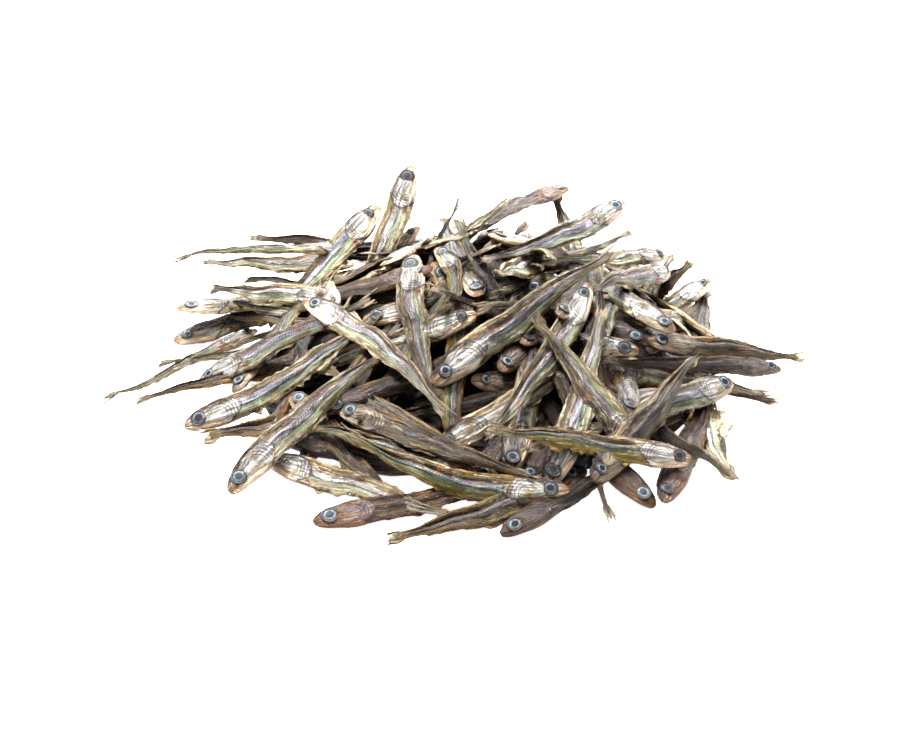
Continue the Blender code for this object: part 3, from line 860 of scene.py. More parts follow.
    def seen(self, seen: Seen, ground: Ground, sightings: Sightings) -> Laid:
        """Brings a fish down its sight lines until it rests.

        Args:
            seen: The fish as it shows.
            ground: The heights laid so far.
            sightings: The distances laid so far.

        Returns:
            The fish at rest.
        """
        s = np.linspace(0.0, 1.0, self.ray_count)
        nose = np.array(seen.nose, float)
        tail = np.array(seen.tail, float)
        along = tail - nose
        left = np.array([along[1], -along[0]]) / np.linalg.norm(along)
        places = nose + s[:, None] * along + (4.0 * s * (1.0 - s))[:, None] * left * seen.bow
        starts, headings = SIGHT.lines(places)
        upper, _, thick = FISH.outline(s)
        half_widths = 0.5 * upper * seen.girth * SIGHT.focal_px / SIGHT.distance
        depth = SIGHT.march(starts, headings, lambda x, y: HEAP.shell(x, y, seen.layer))
        nose_depth, tail_depth = self.line(s, depth)
        if not seen.hidden and nose_depth > tail_depth:
            shown = starts[-1] + headings[-1] * tail_depth
            nose_depth = self.near_end(shown, starts[0], headings[0], nose_depth)
        elif not seen.hidden:
            shown = starts[0] + headings[0] * nose_depth
            tail_depth = self.near_end(shown, starts[-1], headings[-1], tail_depth)
        line = nose_depth + s * (tail_depth - nose_depth)
        contact = sightings.contact(places, left, half_widths) - thick / self.skew + self.sink
        give = self.drape(s, depth, line)
        down = max(-give, 0.0) + self.settled(line, contact) + seen.press
        nose_end = starts[0] + headings[0] * (nose_depth + down)
        tail_end = starts[-1] + headings[-1] * (tail_depth + down)
        if seen.hidden == "tail":
            tail_end = self.buried(nose_end, tail_end)
        elif seen.hidden == "nose":
            nose_end = self.buried(tail_end, nose_end)
        run = unit(tail_end - nose_end)
        _, _, right, up = SIGHT.axes()
        back = seen.back or (1 if along[0] > 0.0 else -1)
        hint = (right * left[0] - up * left[1]) * back
        middle = (nose_end + tail_end) / 2
        flank = self.faced(ground, middle, run, hint, 0.0, self.facing)
        sideways = seen.bow * nose_depth / SIGHT.focal_px
        middle_heading = headings[self.ray_count // 2]
        bend = (right * left[0] - up * left[1]) * sideways + middle_heading * give
        fish = Laid(nose_end, tail_end, bend, flank, seen.girth)
        for _ in range(self.rounds):
            fish = self.bedded(fish, middle_heading, sightings)
            fish = self.lifted(fish, headings[0], headings[-1])
        return fish

    def under(self, ground: Ground, spot: Spot) -> Laid:
        """Drops a fish straight down at a spot of the floor until it rests.

        Args:
            ground: The heights laid so far.
            spot: Where it comes down, and how it lies.

        Returns:
            The fish at rest.
        """
        s = np.linspace(0.0, 1.0, self.ray_count)
        run = np.array([math.cos(spot.heading), math.sin(spot.heading), 0.0])
        left = np.array([-run[1], run[0], 0.0])
        arch = (4.0 * s * (1.0 - s))[:, None]
        start = np.array([spot.x, spot.y, SIGHT.distance])
        starts = start + run * ((s - 0.5) * spot.length)[:, None] + left * spot.bow * arch
        down = np.array([0.0, 0.0, -1.0])
        depth = SIGHT.distance - HEAP.shell(starts[:, 0], starts[:, 1], spot.layer)
        nose_depth, tail_depth = self.line(s, depth)
        line = nose_depth + s * (tail_depth - nose_depth)
        give = self.drape(s, depth, line)
        clear = ground.drop(starts) - FISH.outline(s)[2] + self.sink
        fall = max(-give, 0.0) + self.settled(line, clear)
        nose_end = starts[0] + down * (nose_depth + fall)
        tail_end = starts[-1] + down * (tail_depth + fall)
        chord = unit(tail_end - nose_end)
        flank = self.faced(ground, (nose_end + tail_end) / 2, chord, left, spot.roll, 0.0)
        bend = left * spot.bow + down * give
        return self.lifted(Laid(nose_end, tail_end, bend, flank, spot.girth))


RESTING = Resting()


@dataclass(frozen=True)
class FillLayer:
    """Fish with no solid of their own, where a wide spread meets what the others leave bare."""

    seed: int = 23
    share: float = 0.90
    spread: Spread = Spread(girths=(0.7, 1.0), most_bow=0.004, most_roll=30.0)
    layers: Pair = (2.5, 5.5)
    kept: tuple[int, ...] = (6, 40, 108, 477, 1014)

    def lay(self, ground: Ground) -> list[Laid]:
        """Draws the whole spread, and lays the fish that are kept.

        Args:
            ground: The heights of the core and the fish underneath, which each fish raises.

        Returns:
            The fish.
        """
        rng = np.random.default_rng(self.seed)
        found = []
        for k in range(self.kept[-1] + 1):
            reach = self.share * math.sqrt((k * GOLDEN_SHARE) % 1.0)
            spot = self.spread.spot(rng, spiral_place(k * GOLDEN_ANGLE, reach))
            spot = spot._replace(layer=rng.uniform(*self.layers))
            if k in self.kept:
                fish = RESTING.under(ground, spot)
                ground.add(fish)
                found.append(fish)
        return found


@dataclass(frozen=True)
class UnderLayer:
    """The fish that lie between the core and those that show, spread evenly by the golden angle."""

    count: int = 48
    seed: int = 11
    share: float = 0.80
    spread: Spread = Spread(lengths=(0.050, 0.062))
    layers: Pair = (2.0, 3.5)
    outline_px: tuple[float, float, float, float] = (465.0, 372.0, 258.0, 142.0)
    far_spread: Spread = Spread(girths=(0.85, 1.0))
    far_layer: float = 2.2
    far_side: tuple[Triple, ...] = (
        (-0.036, 0.030, 20.0), (-0.048, 0.022, 100.0), (-0.028, 0.036, -30.0),
        (-0.018, 0.024, 60.0), (-0.055, -0.012, 80.0), (-0.058, 0.008, 60.0), (0.036, 0.028, 120.0),
        (0.030, 0.040, 10.0), (0.010, 0.046, -15.0), (-0.010, 0.044, 30.0), (0.048, 0.010, 80.0),
        (0.052, 0.024, 140.0), (-0.040, 0.006, 150.0), (-0.020, 0.012, -60.0), (0.000, 0.034, 95.0),
        (0.020, 0.020, 45.0),
    )

    def inside(self, fish: Laid) -> bool:
        """Whether the whole fish shows within the heap's rounded outline.

        Args:
            fish: The fish at rest.

        Returns:
            Whether it does.
        """
        spine, _, _ = frames(fish, np.linspace(0.0, 1.0, 9))
        u, v, half_width, half_height = self.outline_px
        away = (SIGHT.picture_place(spine) - (u, v)) / (half_width, half_height)
        return bool((np.hypot(away[:, 0], away[:, 1]) < 1.0).all())

    def lay(self, ground: Ground) -> list[Laid]:
        """Lays these fish on the ground, one by one.

        Args:
            ground: The heights laid so far, which each fish raises.

        Returns:
            The fish that lie within the outline.
        """
        rng = np.random.default_rng(self.seed)
        found = []
        for k in range(self.count):
            reach = self.share * math.sqrt((k + 0.5) / self.count)
            spot = self.spread.spot(rng, spiral_place(k * GOLDEN_ANGLE, reach))
            layer = self.layers[0] + (self.layers[1] - self.layers[0]) * k / self.count
            fish = RESTING.under(ground, spot._replace(layer=layer))
            if self.inside(fish):
                ground.add(fish)
                found.append(fish)
        return found

    def lay_far_side(self, ground: Ground) -> list[Laid]:
        """Lays the fish that cover the far side, low on the core.

        Args:
            ground: The heights below the fish that show, which each fish raises.

        Returns:
            The fish.
        """
        rng = np.random.default_rng(self.seed + 1)
        found = []
        for x, y, turn in self.far_side:
            spot = self.far_spread.spot(rng, (x, y), turn)
            fish = RESTING.under(ground, spot._replace(layer=self.far_layer))
            ground.add(fish)
            found.append(fish)
        return found


class Patch(Enum):
    """The material slots of every fish, in their order."""

    SKIN = 0
    IRIS = 1
    PUPIL = 2
    RIM = 3
    FIN = 4


class Side(Enum):
    """The parts of a fish that are laid out apart from each other on its own share of the map."""

    LEFT = 0
    RIGHT = 1
    LEFT_EYE = 2
    RIGHT_EYE = 3
    LEFT_FIN = 4
    RIGHT_FIN = 5


def smooth(low: float, high: float, value: Array) -> Array:
    """Rises softly from 0 at low to 1 at high."""
    t = np.clip((value - low) / (high - low), 0.0, 1.0)
    return t * t * (3.0 - 2.0 * t)


def hump(value: Array, centre: float, width: float) -> Array:
    """A soft hump of height 1 around a centre."""
    return np.exp(-(((value - centre) / width) ** 2))


def start_fresh() -> None:
    """Leaves edit mode and deselects everything, so that the next operator acts on one thing."""
    if bpy.context.object and bpy.context.object.mode != "OBJECT":
        bpy.ops.object.mode_set(mode="OBJECT")
    bpy.ops.object.select_all(action="DESELECT")


def finish_modifier(obj: Thing, kind: str, **settings: object) -> None:
    """Adds a modifier with its settings and applies it.

    Args:
        obj: The object, which is also made the active one.
        kind: The modifier's type.
        settings: Its values by name.
    """
    bpy.context.view_layer.objects.active = obj
    modifier = obj.modifiers.new(kind.lower(), kind)
    for name, value in settings.items():
        setattr(modifier, name, value)
    bpy.ops.object.modifier_apply(modifier=modifier.name)


def face_outwards() -> None:
    """Turns all faces of the active object outwards, and leaves edit mode."""
    bpy.ops.object.mode_set(mode="EDIT")
    bpy.ops.mesh.select_all(action="SELECT")
    bpy.ops.mesh.normals_make_consistent(inside=False)
    bpy.ops.object.mode_set(mode="OBJECT")


def values_of(parts: Sequence, name: str, kind: type, each: int = 1) -> Array:
    """One value, or several, of each vertex, corner or face.

    Args:
        parts: The vertices, corners or faces.
        name: The value's name.
        kind: The kind of number.
        each: How many numbers each has.

    Returns:
        The numbers, one after another.
    """
    found = np.empty(each * len(parts), kind)
    parts.foreach_get(name, found)
    return found


def points_of(obj: Thing) -> Array:
    """The places of an object's vertices."""
    return values_of(obj.data.vertices, "co", float, 3).reshape(-1, 3)


def move_points(obj: Thing, places: Array) -> None:
    """Puts an object's vertices at new places."""
    obj.data.vertices.foreach_set("co", np.asarray(places, float).ravel())
    obj.data.update()


@dataclass
class Shape:
    """A finished fish in its own space, as arrays that every copy is made from."""

    places: Array
    corners: Array
    counts: Array
    patches: Array
    skin_place: Array
    cell_place: Array
    eye_place: Pair

    @property
    def triangles(self) -> int:
        """How many triangles the faces come to."""
        return int((self.counts - 2).sum())


@dataclass
class FishModel:
    """One dried fish, modelled once for each build: body, gill covers, eyes and tail fin."""

    build: Build = WHOLE
    sides: int = 16
    stations: int = 32
    crowding: float = 1.30
    smoothing: int = 1
    lens: float = 0.25
    head_at: tuple[float, ...] = (0.0, 0.02, 0.05, 0.08, 0.13, 0.20, 0.27, 0.33)
    head_depth: tuple[float, ...] = (0.16, 0.46, 0.72, 0.86, 0.97, 1.04, 1.02, 0.0)
    chin: float = 0.80
    throat: float = 0.94
    mouth_at: float = -0.14
    leanness: float = 1.0
    fray: float = 0.0002
    fray_waves: tuple[int, ...] = (5, 9, 14, 23, 31)
    gill_rise: float = 0.00032
    ridges: tuple[Triple, ...] = (
        (0.00024, 0.10, 0.14), (-0.00040, 0.40, 0.10), (-0.00034, -0.24, 0.10),
        (0.00020, 0.70, 0.12),
    )
    fan_rise: float = 0.00011
    fan_period: float = 0.0012
    eye_at: float = 0.080
    eye_above: float = 0.00055
    eye_out: float = 0.88
    iris_radius: float = 0.0019
    pupil_radius: float = 0.00082
    rim_radius: float = 0.0021
    rim_width: float = 0.00056
    fin_start: float = 0.925
    fin_spread: float = 0.0036
    fin_thickness: float = 0.00018
    fin_pleats: float = 4.0
    flap_from: float = 0.29
    flap_to: float = 0.82
    flap_drop: float = 0.0008
    back_drop: float = 0.0002
    flap_columns: int = 44
    flap_thickness: float = 0.00012
    creases: int = 7
    crease: float = 0.00042
    span: float = 0.97
    nose_gap: float = 0.004
    swell: Triple = (0.30, 0.06, 0.06)
    thickest: float = 1.05
    fan_root: Pair = (0.17, -0.0013)
    fan_clear: Pair = (0.0015, 0.0025)
    cover_from: Pair = (0.10, 0.15)
    cover_edge: Pair = (-0.004, 0.012)
    socket_rise: float = 0.00018
    socket_width: float = 0.0005
    socket_depth: float = 0.00030
    jaw_rise: float = -0.00030
    jaw_width: float = 0.10
    jaw_end: Pair = (0.17, 0.22)
    trunk_from: Pair = (0.28, 0.34)
    trunk_to: Pair = (0.86, 0.95)
    belly_rise: float = -0.00060
    belly_along: Pair = (0.43, 0.13)
    belly_across: Pair = (-0.52, 0.22)
    grain: float = 0.00010
    eye_mesh: tuple[int, int] = (14, 8)
    rim_mesh: tuple[int, int] = (16, 5)
    eye_flatness: float = 0.16
    fin_mesh: tuple[int, int] = (7, 14)
    fin_reach: float = 0.060
    fork: float = 0.036
    fork_curve: float = 1.5
    jags: float = 0.022
    fin_root: float = 0.0011
    pleat_height: float = 0.00022
    cupping: float = 0.00030
    flap_root: float = 0.0003
    flap_curl: float = 0.00050
    seed: int = 5

    def size_at(self, s: Array) -> tuple[Array, Array, Array]:
        """The half depths above and below the spine and the half thickness of this build.

        Args:
            s: Shares of the length.

        Returns:
            The three sizes, in metres.
        """
        upper, lower, thick = FISH.outline(np.clip(s, 0.0, 1.0))
        blunt = np.interp(s, self.head_at, self.head_depth) * FISH.depth / 2
        body = 1.0 - (1.0 - self.leanness) * smooth(0.22, 0.36, s)
        chin = self.chin + (self.throat - self.chin) * smooth(0.06, 0.20, s)
        rise, at, width = self.swell
        thick = thick * (self.thickest + rise * hump(s, at, width))
        return np.maximum(upper, blunt) * body, np.maximum(lower * chin, chin * blunt) * body, thick

    def body(self) -> Thing:
        """A ring of points drawn out from the nose to the tail, and rounded.

        Returns:
            The closed body, not yet with its relief.
        """
        start_fresh()
        s = np.linspace(0.0, 1.0, self.stations) ** self.crowding * self.span + self.nose_gap
        upper, lower, thick = self.size_at(s)
        half = (upper + lower) / 2
        middle = (upper - lower) / 2
        bpy.ops.mesh.primitive_circle_add(
            vertices=self.sides,
            radius=1.0,
            fill_type="NGON",
            location=(s[0] * FISH.length, middle[0], 0.0),
            rotation=(math.pi / 2, 0.0, math.pi / 2),
        )
        obj = bpy.context.object
        obj.name = f"{self.build.value}_body"
        obj.scale = (half[0], thick[0], 1.0)
        bpy.ops.object.transform_apply(location=True, rotation=True, scale=True)
        bpy.ops.object.mode_set(mode="EDIT")
        bpy.ops.mesh.select_all(action="SELECT")
        for k in range(1, len(s)):
            shift = ((s[k] - s[k - 1]) * FISH.length, middle[k] - middle[k - 1], 0.0)
            bpy.ops.mesh.extrude_region_move(TRANSFORM_OT_translate={"value": shift})
            bpy.ops.transform.resize(
                value=(1.0, half[k] / half[k - 1], thick[k] / thick[k - 1]),
                center_override=(s[k] * FISH.length, middle[k], 0.0),
            )
        face_outwards()
        finish_modifier(obj, "SUBSURF", levels=self.smoothing, render_levels=self.smoothing)
        return obj

    def place_on_skin(self, places: Array) -> tuple[Array, Array]:
        """Where points lie on the skin.

        Args:
            places: Points in the fish's own space.

        Returns:
            The share of the length, and the height from -1 at the belly to 1 at the back.
        """
        s = places[:, 0] / FISH.length
        upper, lower, _ = self.size_at(s)
        return s, places[:, 1] / np.where(places[:, 1] > 0.0, upper, lower)

    def relief(self, places: Array) -> Array:
        """How far the skin stands proud at each point: gill cover, jaw, ridge and hollows.

        Args:
            places: Points in the fish's own space.

        Returns:
            How far, in metres.
        """
        s, v = self.place_on_skin(places)
        y = places[:, 1]
        edge = GILL_END - GILL_BOW * (v + GILL_MIDDLE) ** 2
        fall = smooth(edge + self.cover_edge[0], edge + self.cover_edge[1], s)
        cover = smooth(*self.cover_from, s) * (1.0 - fall)
        root, low = self.fan_root
        reach = np.hypot(places[:, 0] - root * FISH.length, y - low)
        fan = np.sin(2.0 * math.pi * reach / self.fan_period) * smooth(*self.fan_clear, reach)
        away = np.hypot(places[:, 0] - self.eye_at * FISH.length, y - self.eye_above)
        around = hump(away, self.rim_radius + self.socket_width, self.socket_width)
        sunk = 1.0 - smooth(self.iris_radius, self.rim_radius, away)
        socket = self.socket_rise * around - self.socket_depth * sunk
        jaw = self.jaw_rise * hump(v, self.mouth_at - JAW_SLOPE * s, self.jaw_width)
        jaw = jaw * (1.0 - smooth(*self.jaw_end, s))
        trunk = smooth(*self.trunk_from, s) * (1.0 - smooth(*self.trunk_to, s))
        ridge = sum(rise * hump(v, at, width) for rise, at, width in self.ridges)
        belly = self.belly_rise * hump(s, *self.belly_along) * hump(v, *self.belly_across)
        grain = self.grain * np.sin(places[:, 0] * 2300.0 + 5.0 * v) * np.sin(v * 7.0 + s * 31.0)
        return (
            cover * (self.gill_rise + self.fan_rise * fan)
            + socket
            + jaw
            + trunk * (ridge + belly + grain)
        )

    def carved(self, obj: Thing) -> None:
        """Gives the body its sharp back and belly, its relief and its frayed belly edge.

        Args:
            obj: The body.
        """
        places = points_of(obj)
        s, v = self.place_on_skin(places)
        face = np.sqrt(np.clip(1.0 - v**2, 0.0, 1.0))
        proud = self.relief(places) * smooth(0.05, 0.45, face)
        rng = np.random.default_rng(self.seed)
        waves = sum(
            np.sin(2.0 * math.pi * (s * n + rng.uniform())) / n**0.4 for n in self.fray_waves
        )
        belly = smooth(0.55, 0.98, -v) * smooth(0.27, 0.34, s) * (1.0 - smooth(0.74, 0.90, s))
        back = smooth(0.70, 1.0, v) * smooth(0.30, 0.40, s) * (1.0 - smooth(0.85, 0.95, s))
        left = places[:, 2] > 0.0
        folds = np.where(left, self.folds(rng, s, v), self.folds(rng, s, v))
        places[:, 2] *= np.clip(face, 0.02, 1.0) ** self.lens
        places[:, 2] += np.where(left, 1.0, -1.0) * (proud + folds * smooth(0.2, 0.6, face))
        places[:, 1] += (belly - 0.25 * back) * self.fray * waves
        places[:, 2] += 0.35 * belly * self.fray * waves
        move_points(obj, places)

    def folds(self, rng: np.random.Generator, s: Array, v: Array) -> Array:
        """The long creases and ridges that drying draws into one flank.

        Args:
            rng: Where the draws come from.
            s: The shares of the length.
            v: The heights from belly to back.

        Returns:
            How far the skin stands proud.
        """
        found = np.zeros(len(s))
        for _ in range(self.creases):
            height, slope = rng.uniform(-0.8, 0.8), rng.uniform(-0.5, 0.5)
            at, reach = rng.uniform(0.32, 0.85), rng.uniform(0.06, 0.18)
            way = rng.choice((-1.0, -0.7, 0.8))
            line = hump(v, height + slope * (s - at), rng.uniform(0.07, 0.14))
            found += way * self.crease * line * hump(s, at, reach)
        return found * smooth(0.27, 0.33, s)

    def eye(self, side: int) -> list[Thing]:
        """A squashed ball with its pupil, and the dark ring round it.

        Args:
            side: 1 for the left flank, -1 for the right one.

        Returns:
            The ball and the ring.
        """
        _, _, thick = self.size_at(np.array([self.eye_at]))
        place = (self.eye_at * FISH.length, self.eye_above, side * thick[0] * self.eye_out)
        start_fresh()
        segments, rings = self.eye_mesh
        bpy.ops.mesh.primitive_uv_sphere_add(
            segments=segments, ring_count=rings, radius=self.iris_radius, location=place
        )
        ball = bpy.context.object
        ball.scale = (1.0, 1.0, self.eye_flatness)
        bpy.ops.object.transform_apply(location=True, rotation=True, scale=True)
        centres = np.array([face.center for face in ball.data.polygons])
        away = np.hypot(centres[:, 0] - place[0], centres[:, 1] - place[1])
        pupil = (away < self.pupil_radius) & ((centres[:, 2] - place[2]) * side > 0.0)
        patches = np.where(pupil, Patch.PUPIL.value, Patch.IRIS.value)
        share = Side.LEFT_EYE if side > 0 else Side.RIGHT_EYE
        self.marked(ball, patches, (share, share))
        start_fresh()
        bpy.ops.mesh.primitive_torus_add(
            major_segments=self.rim_mesh[0],
            minor_segments=self.rim_mesh[1],
            major_radius=self.rim_radius,
            minor_radius=self.rim_width / 2,
            location=place,
        )
        ring = bpy.context.object
        bpy.ops.object.transform_apply(location=True, rotation=True, scale=True)
        self.marked(ring, Patch.RIM, (share, share))
        return [ball, ring]

    def thickened(self, obj: Thing, thickness: float, patch: Patch, shares: tuple) -> Thing:
        """A sheet with its two sides drawn apart and marked.

        Args:
            obj: The sheet.
            thickness: How far apart, in metres.
            patch: Its material slot.
            shares: Its shares of the map, left and right.

        Returns:
            The same sheet.
        """
        finish_modifier(obj, "SOLIDIFY", thickness=thickness, offset=0.0)
        face_outwards()
        self.marked(obj, patch, shares)
        return obj

    def fin(self) -> Thing:
        """The forked tail, pleated and jagged along its rear edge.

        Returns:
            The fin.
        """
        start_fresh()
        columns, rows = self.fin_mesh
        bpy.ops.mesh.primitive_grid_add(x_subdivisions=columns, y_subdivisions=rows, size=2.0)
        obj = bpy.context.object
        places = points_of(obj)
        out, across = (places[:, 0] + 1.0) / 2.0, places[:, 1]
        rng = np.random.default_rng(self.seed + 1)
        own_row = np.round((across + 1.0) * (rows / 2)).astype(int)
        teeth = rng.uniform(-1.0, 1.0, rows + 1)[own_row]
        forked = self.fork * np.abs(across) ** self.fork_curve
        reach = self.fin_reach + forked + self.jags * teeth
        x = (self.fin_start + out * reach) * FISH.length
        half = self.fin_root + (self.fin_spread - self.fin_root) * out**0.9
        y = across * half * (1.0 + 0.05 * teeth * out)
        pleat = np.sin(across * math.pi * self.fin_pleats)
        z = self.pleat_height * pleat + self.cupping * np.abs(across) * out
        z = z * (0.3 + out)
        move_points(obj, np.stack([x, y, z], axis=1))
        shares = (Side.LEFT_FIN, Side.RIGHT_FIN)
        return self.thickened(obj, self.fin_thickness, Patch.FIN, shares)

    def flap(self, side: int, drop: float) -> Thing:
        """A torn strip of skin along an edge.

        Args:
            side: 1 for the back, -1 for the belly.
            drop: How far its longest scraps hang out.

        Returns:
            The strip.
        """
        start_fresh()
        bpy.ops.mesh.primitive_grid_add(
            x_subdivisions=self.flap_columns, y_subdivisions=2, size=2.0
        )
        obj = bpy.context.object
        places = points_of(obj)
        along, out = (places[:, 0] + 1.0) / 2.0, (places[:, 1] + 1.0) / 2.0
        rng = np.random.default_rng((self.seed, 2 + side))
        column = np.round(along * self.flap_columns).astype(int)
        count = self.flap_columns + 1
        slow = np.interp(np.arange(count), np.linspace(0, count, 9), rng.uniform(-0.35, 0.9, 9))
        rough = np.convolve(rng.uniform(-0.9, 0.9, count), (0.25, 0.5, 0.25), "same")
        teeth = np.clip(slow + rough, 0.0, 1.2)[column]
        ends = smooth(0.0, 0.1, along) * (1.0 - smooth(0.85, 1.0, along))
        s = self.flap_from + along * (self.flap_to - self.flap_from)
        upper, lower, _ = self.size_at(s)
        inner = 0.90 * (upper if side > 0 else lower)
        y = side * (inner + out * (self.flap_root + ends * teeth * drop))
        curl = np.convolve(rng.uniform(-1.0, 1.0, count), (0.3, 0.4, 0.3), "same")[column]
        z = self.flap_curl * out * curl + 0.00012 * np.sin(along * 60.0)
        move_points(obj, np.stack([s * FISH.length, y, z], axis=1))
        return self.thickened(obj, self.flap_thickness, Patch.SKIN, (Side.LEFT, Side.RIGHT))

    def marked(self, obj: Thing, patch: Union[Patch, Array], shares: tuple[Side, Side]) -> None:
        """Notes each face's material slot, and the share of the map that it is drawn on.

        Args:
            obj: The part of the fish.
            patch: The material slot of all faces, or that of each.
            shares: The shares of the map for faces that look to the left and to the right.
        """
        faces = obj.data.polygons
        patches = np.full(len(faces), patch.value) if isinstance(patch, Patch) else patch
        left = np.array([face.normal.z for face in faces]) > 0.0
        sides = np.where(left, shares[0].value, shares[1].value)
        for name, values in (("patch", patches), ("side", sides)):
            layer = obj.data.attributes.new(name, "INT", "FACE")
            layer.data.foreach_set("value", np.asarray(values, np.int32))

    def cell_place(self, places: Array, side: Array) -> Array:
        """Each corner's place on the fish's own share of the map, three times as wide as high.

        Args:
            places: The corners' places in the fish's own space.
            side: The share that each corner's face is drawn on.

        Returns:
            The two coordinates, from 0 to 1.
        """
        s, v = self.place_on_skin(places)
        cell = np.zeros((len(places), 2))
        for flank, low in ((Side.LEFT, 0.01), (Side.RIGHT, 0.42)):
            own = side == flank.value
            cell[own, 0] = 0.01 + 0.98 * s[own]
            cell[own, 1] = low + 0.39 * np.clip((v[own] + 1.3) / 2.6, 0.0, 1.0)
        eye_x, eye_y = self.eye_at * FISH.length, self.eye_above
        for eye, left in ((Side.LEFT_EYE, 0.06), (Side.RIGHT_EYE, 0.18)):
            own = side == eye.value
            away = places[own, :2] - (eye_x, eye_y)
            _, _, thick = self.size_at(np.array([self.eye_at]))
            sink = np.clip(thick[0] * self.eye_out - np.abs(places[own, 2]), 0.0, None)
            grown = away * (1.0 + 900.0 * sink[:, None])
            cell[own, 0] = left + grown[:, 0] / 0.006 * 0.10
            cell[own, 1] = 0.915 + np.clip(grown[:, 1] / 0.006 * 0.16, -0.08, 0.08)
        for fin, left in ((Side.LEFT_FIN, 0.27), (Side.RIGHT_FIN, 0.64)):
            own = side == fin.value
            cell[own, 0] = left + 0.33 * (s[own] - self.fin_start) / 0.13
            cell[own, 1] = 0.915 + 0.07 * np.clip(places[own, 1] / 0.0046, -1.0, 1.0)
        return np.clip(cell, 0.002, 0.998)

    def shape(self) -> Shape:
        """Builds the parts, joins them, and reads the result into arrays.

        Returns:
            The finished fish.
        """
        body = self.body()
        self.carved(body)
        self.marked(body, Patch.SKIN, (Side.LEFT, Side.RIGHT))
        flaps = [self.flap(-1, self.flap_drop), self.flap(1, self.back_drop)]
        parts = [body, *self.eye(1), *self.eye(-1), self.fin(), *flaps]
        start_fresh()
        for part in parts:
            part.select_set(True)
        bpy.context.view_layer.objects.active = body
        bpy.ops.object.join()
        mesh = body.data
        places = points_of(body)
        corners = values_of(mesh.loops, "vertex_index", np.int64)
        counts = values_of(mesh.polygons, "loop_total", np.int64)
        patches = values_of(mesh.attributes["patch"].data, "value", np.int32)
        sides = values_of(mesh.attributes["side"].data, "value", np.int32)
        at = places[corners]
        s, v = self.place_on_skin(at)
        skin_place = np.stack([s, (v + 1.0) / 2.0], axis=1)
        found = Shape(
            places,
            corners,
            counts,
            patches,
            skin_place,
            self.cell_place(at, np.repeat(sides, counts)),
            (self.eye_at * FISH.length, self.eye_above),
        )
        bpy.data.objects.remove(body)
        LOG.info("%s fish: %d triangles", self.build.value, found.triangles)
        return found


MODELS = (
    FishModel(WHOLE),
    FishModel(RAGGED, fray=0.00065, lens=0.35, flap_drop=0.0024, back_drop=0.0006, seed=7),
    FishModel(
        LEAN,
        leanness=0.74,
        lens=0.10,
        fray=0.00025,
        flap_drop=0.0005,
        back_drop=0.0001,
        seed=9,
    ),
    FishModel(BURIED, sides=12, stations=20, flap_drop=0.0012, flap_columns=22, seed=3),
)


def linear(colour: Rgb) -> tuple[float, float, float, float]:
    """An sRGB colour as the linear one that a shader takes.

    Args:
        colour: The colour, each part from 0 to 255.

    Returns:
        The linear colour, opaque.
    """
    parts = [part / 255.0 for part in colour]
    made = [p / 12.92 if p <= 0.04045 else ((p + 0.055) / 1.055) ** 2.4 for p in parts]
    return made[0], made[1], made[2], 1.0


class Signal:
    """A number or colour that differs from place to place, in a material that is being made."""

    def __init__(self, recipe: "Recipe", socket: bpy.types.NodeSocket) -> None:
        """Notes the material, and the socket that the number comes out of."""
        self.recipe = recipe
        self.socket = socket

    def __add__(self, other: "Value") -> "Signal":
        """This number and another one added."""
        return self.recipe.math("ADD", self, other)

    def __radd__(self, other: float) -> "Signal":
        """A plain number and this one added."""
        return self.recipe.math("ADD", other, self)

    def __sub__(self, other: "Value") -> "Signal":
        """Another number taken from this one."""
        return self.recipe.math("SUBTRACT", self, other)

    def __rsub__(self, other: float) -> "Signal":
        """This number taken from a plain one."""
        return self.recipe.math("SUBTRACT", other, self)

    def __mul__(self, other: "Value") -> "Signal":
        """This number and another one multiplied."""
        return self.recipe.math("MULTIPLY", self, other)

    def __rmul__(self, other: float) -> "Signal":
        """A plain number and this one multiplied."""
        return self.recipe.math("MULTIPLY", other, self)

    def __truediv__(self, other: "Value") -> "Signal":
        """This number divided by another one."""
        return self.recipe.math("DIVIDE", self, other)

    def __abs__(self) -> "Signal":
        """This number without its sign."""
        return self.recipe.math("ABSOLUTE", self)

    def wave(self) -> "Signal":
        """The sine of this number."""
        return self.recipe.math("SINE", self)

    def root(self) -> "Signal":
        """The square root of this number."""
        return self.recipe.math("SQRT", self)

    def draw(self, step: float) -> "Signal":
        """A number from 0 to 1 that looks drawn at random, from this one times a step."""
        return self.recipe.math("FRACT", self * step)

    def or_more(self, other: "Value") -> "Signal":
        """The greater of two numbers."""
        return self.recipe.math("MAXIMUM", self, other)

    def rise(self, low: float, high: float) -> "Signal":
        """Rises softly from 0 at low to 1 at high, or falls where low is the greater.

        Args:
            low: Where it is 0.
            high: Where it is 1.

        Returns:
            A number from 0 to 1.
        """
        ends = {"From Min": min(low, high), "From Max": max(low, high)}
        ways = {"To Min": float(low >= high), "To Max": float(low < high)}
        smoothly = {"interpolation_type": "SMOOTHSTEP"}
        return self.recipe.made("MapRange", "Result", {"Value": self, **ends, **ways}, **smoothly)

    def hump(self, centre: float, width: float) -> "Signal":
        """A soft hump of height 1 around a centre."""
        return abs(self - centre).rise(width, 0.0)


Value = Union[Signal, float]
Tint = Union[Signal, Rgb]


class Noise(NamedTuple):
    """How fine an unevenness is, how many finer ones lie in it, and how strong those are."""

    scale: float
    detail: float = 2.0
    rough: float = 0.5


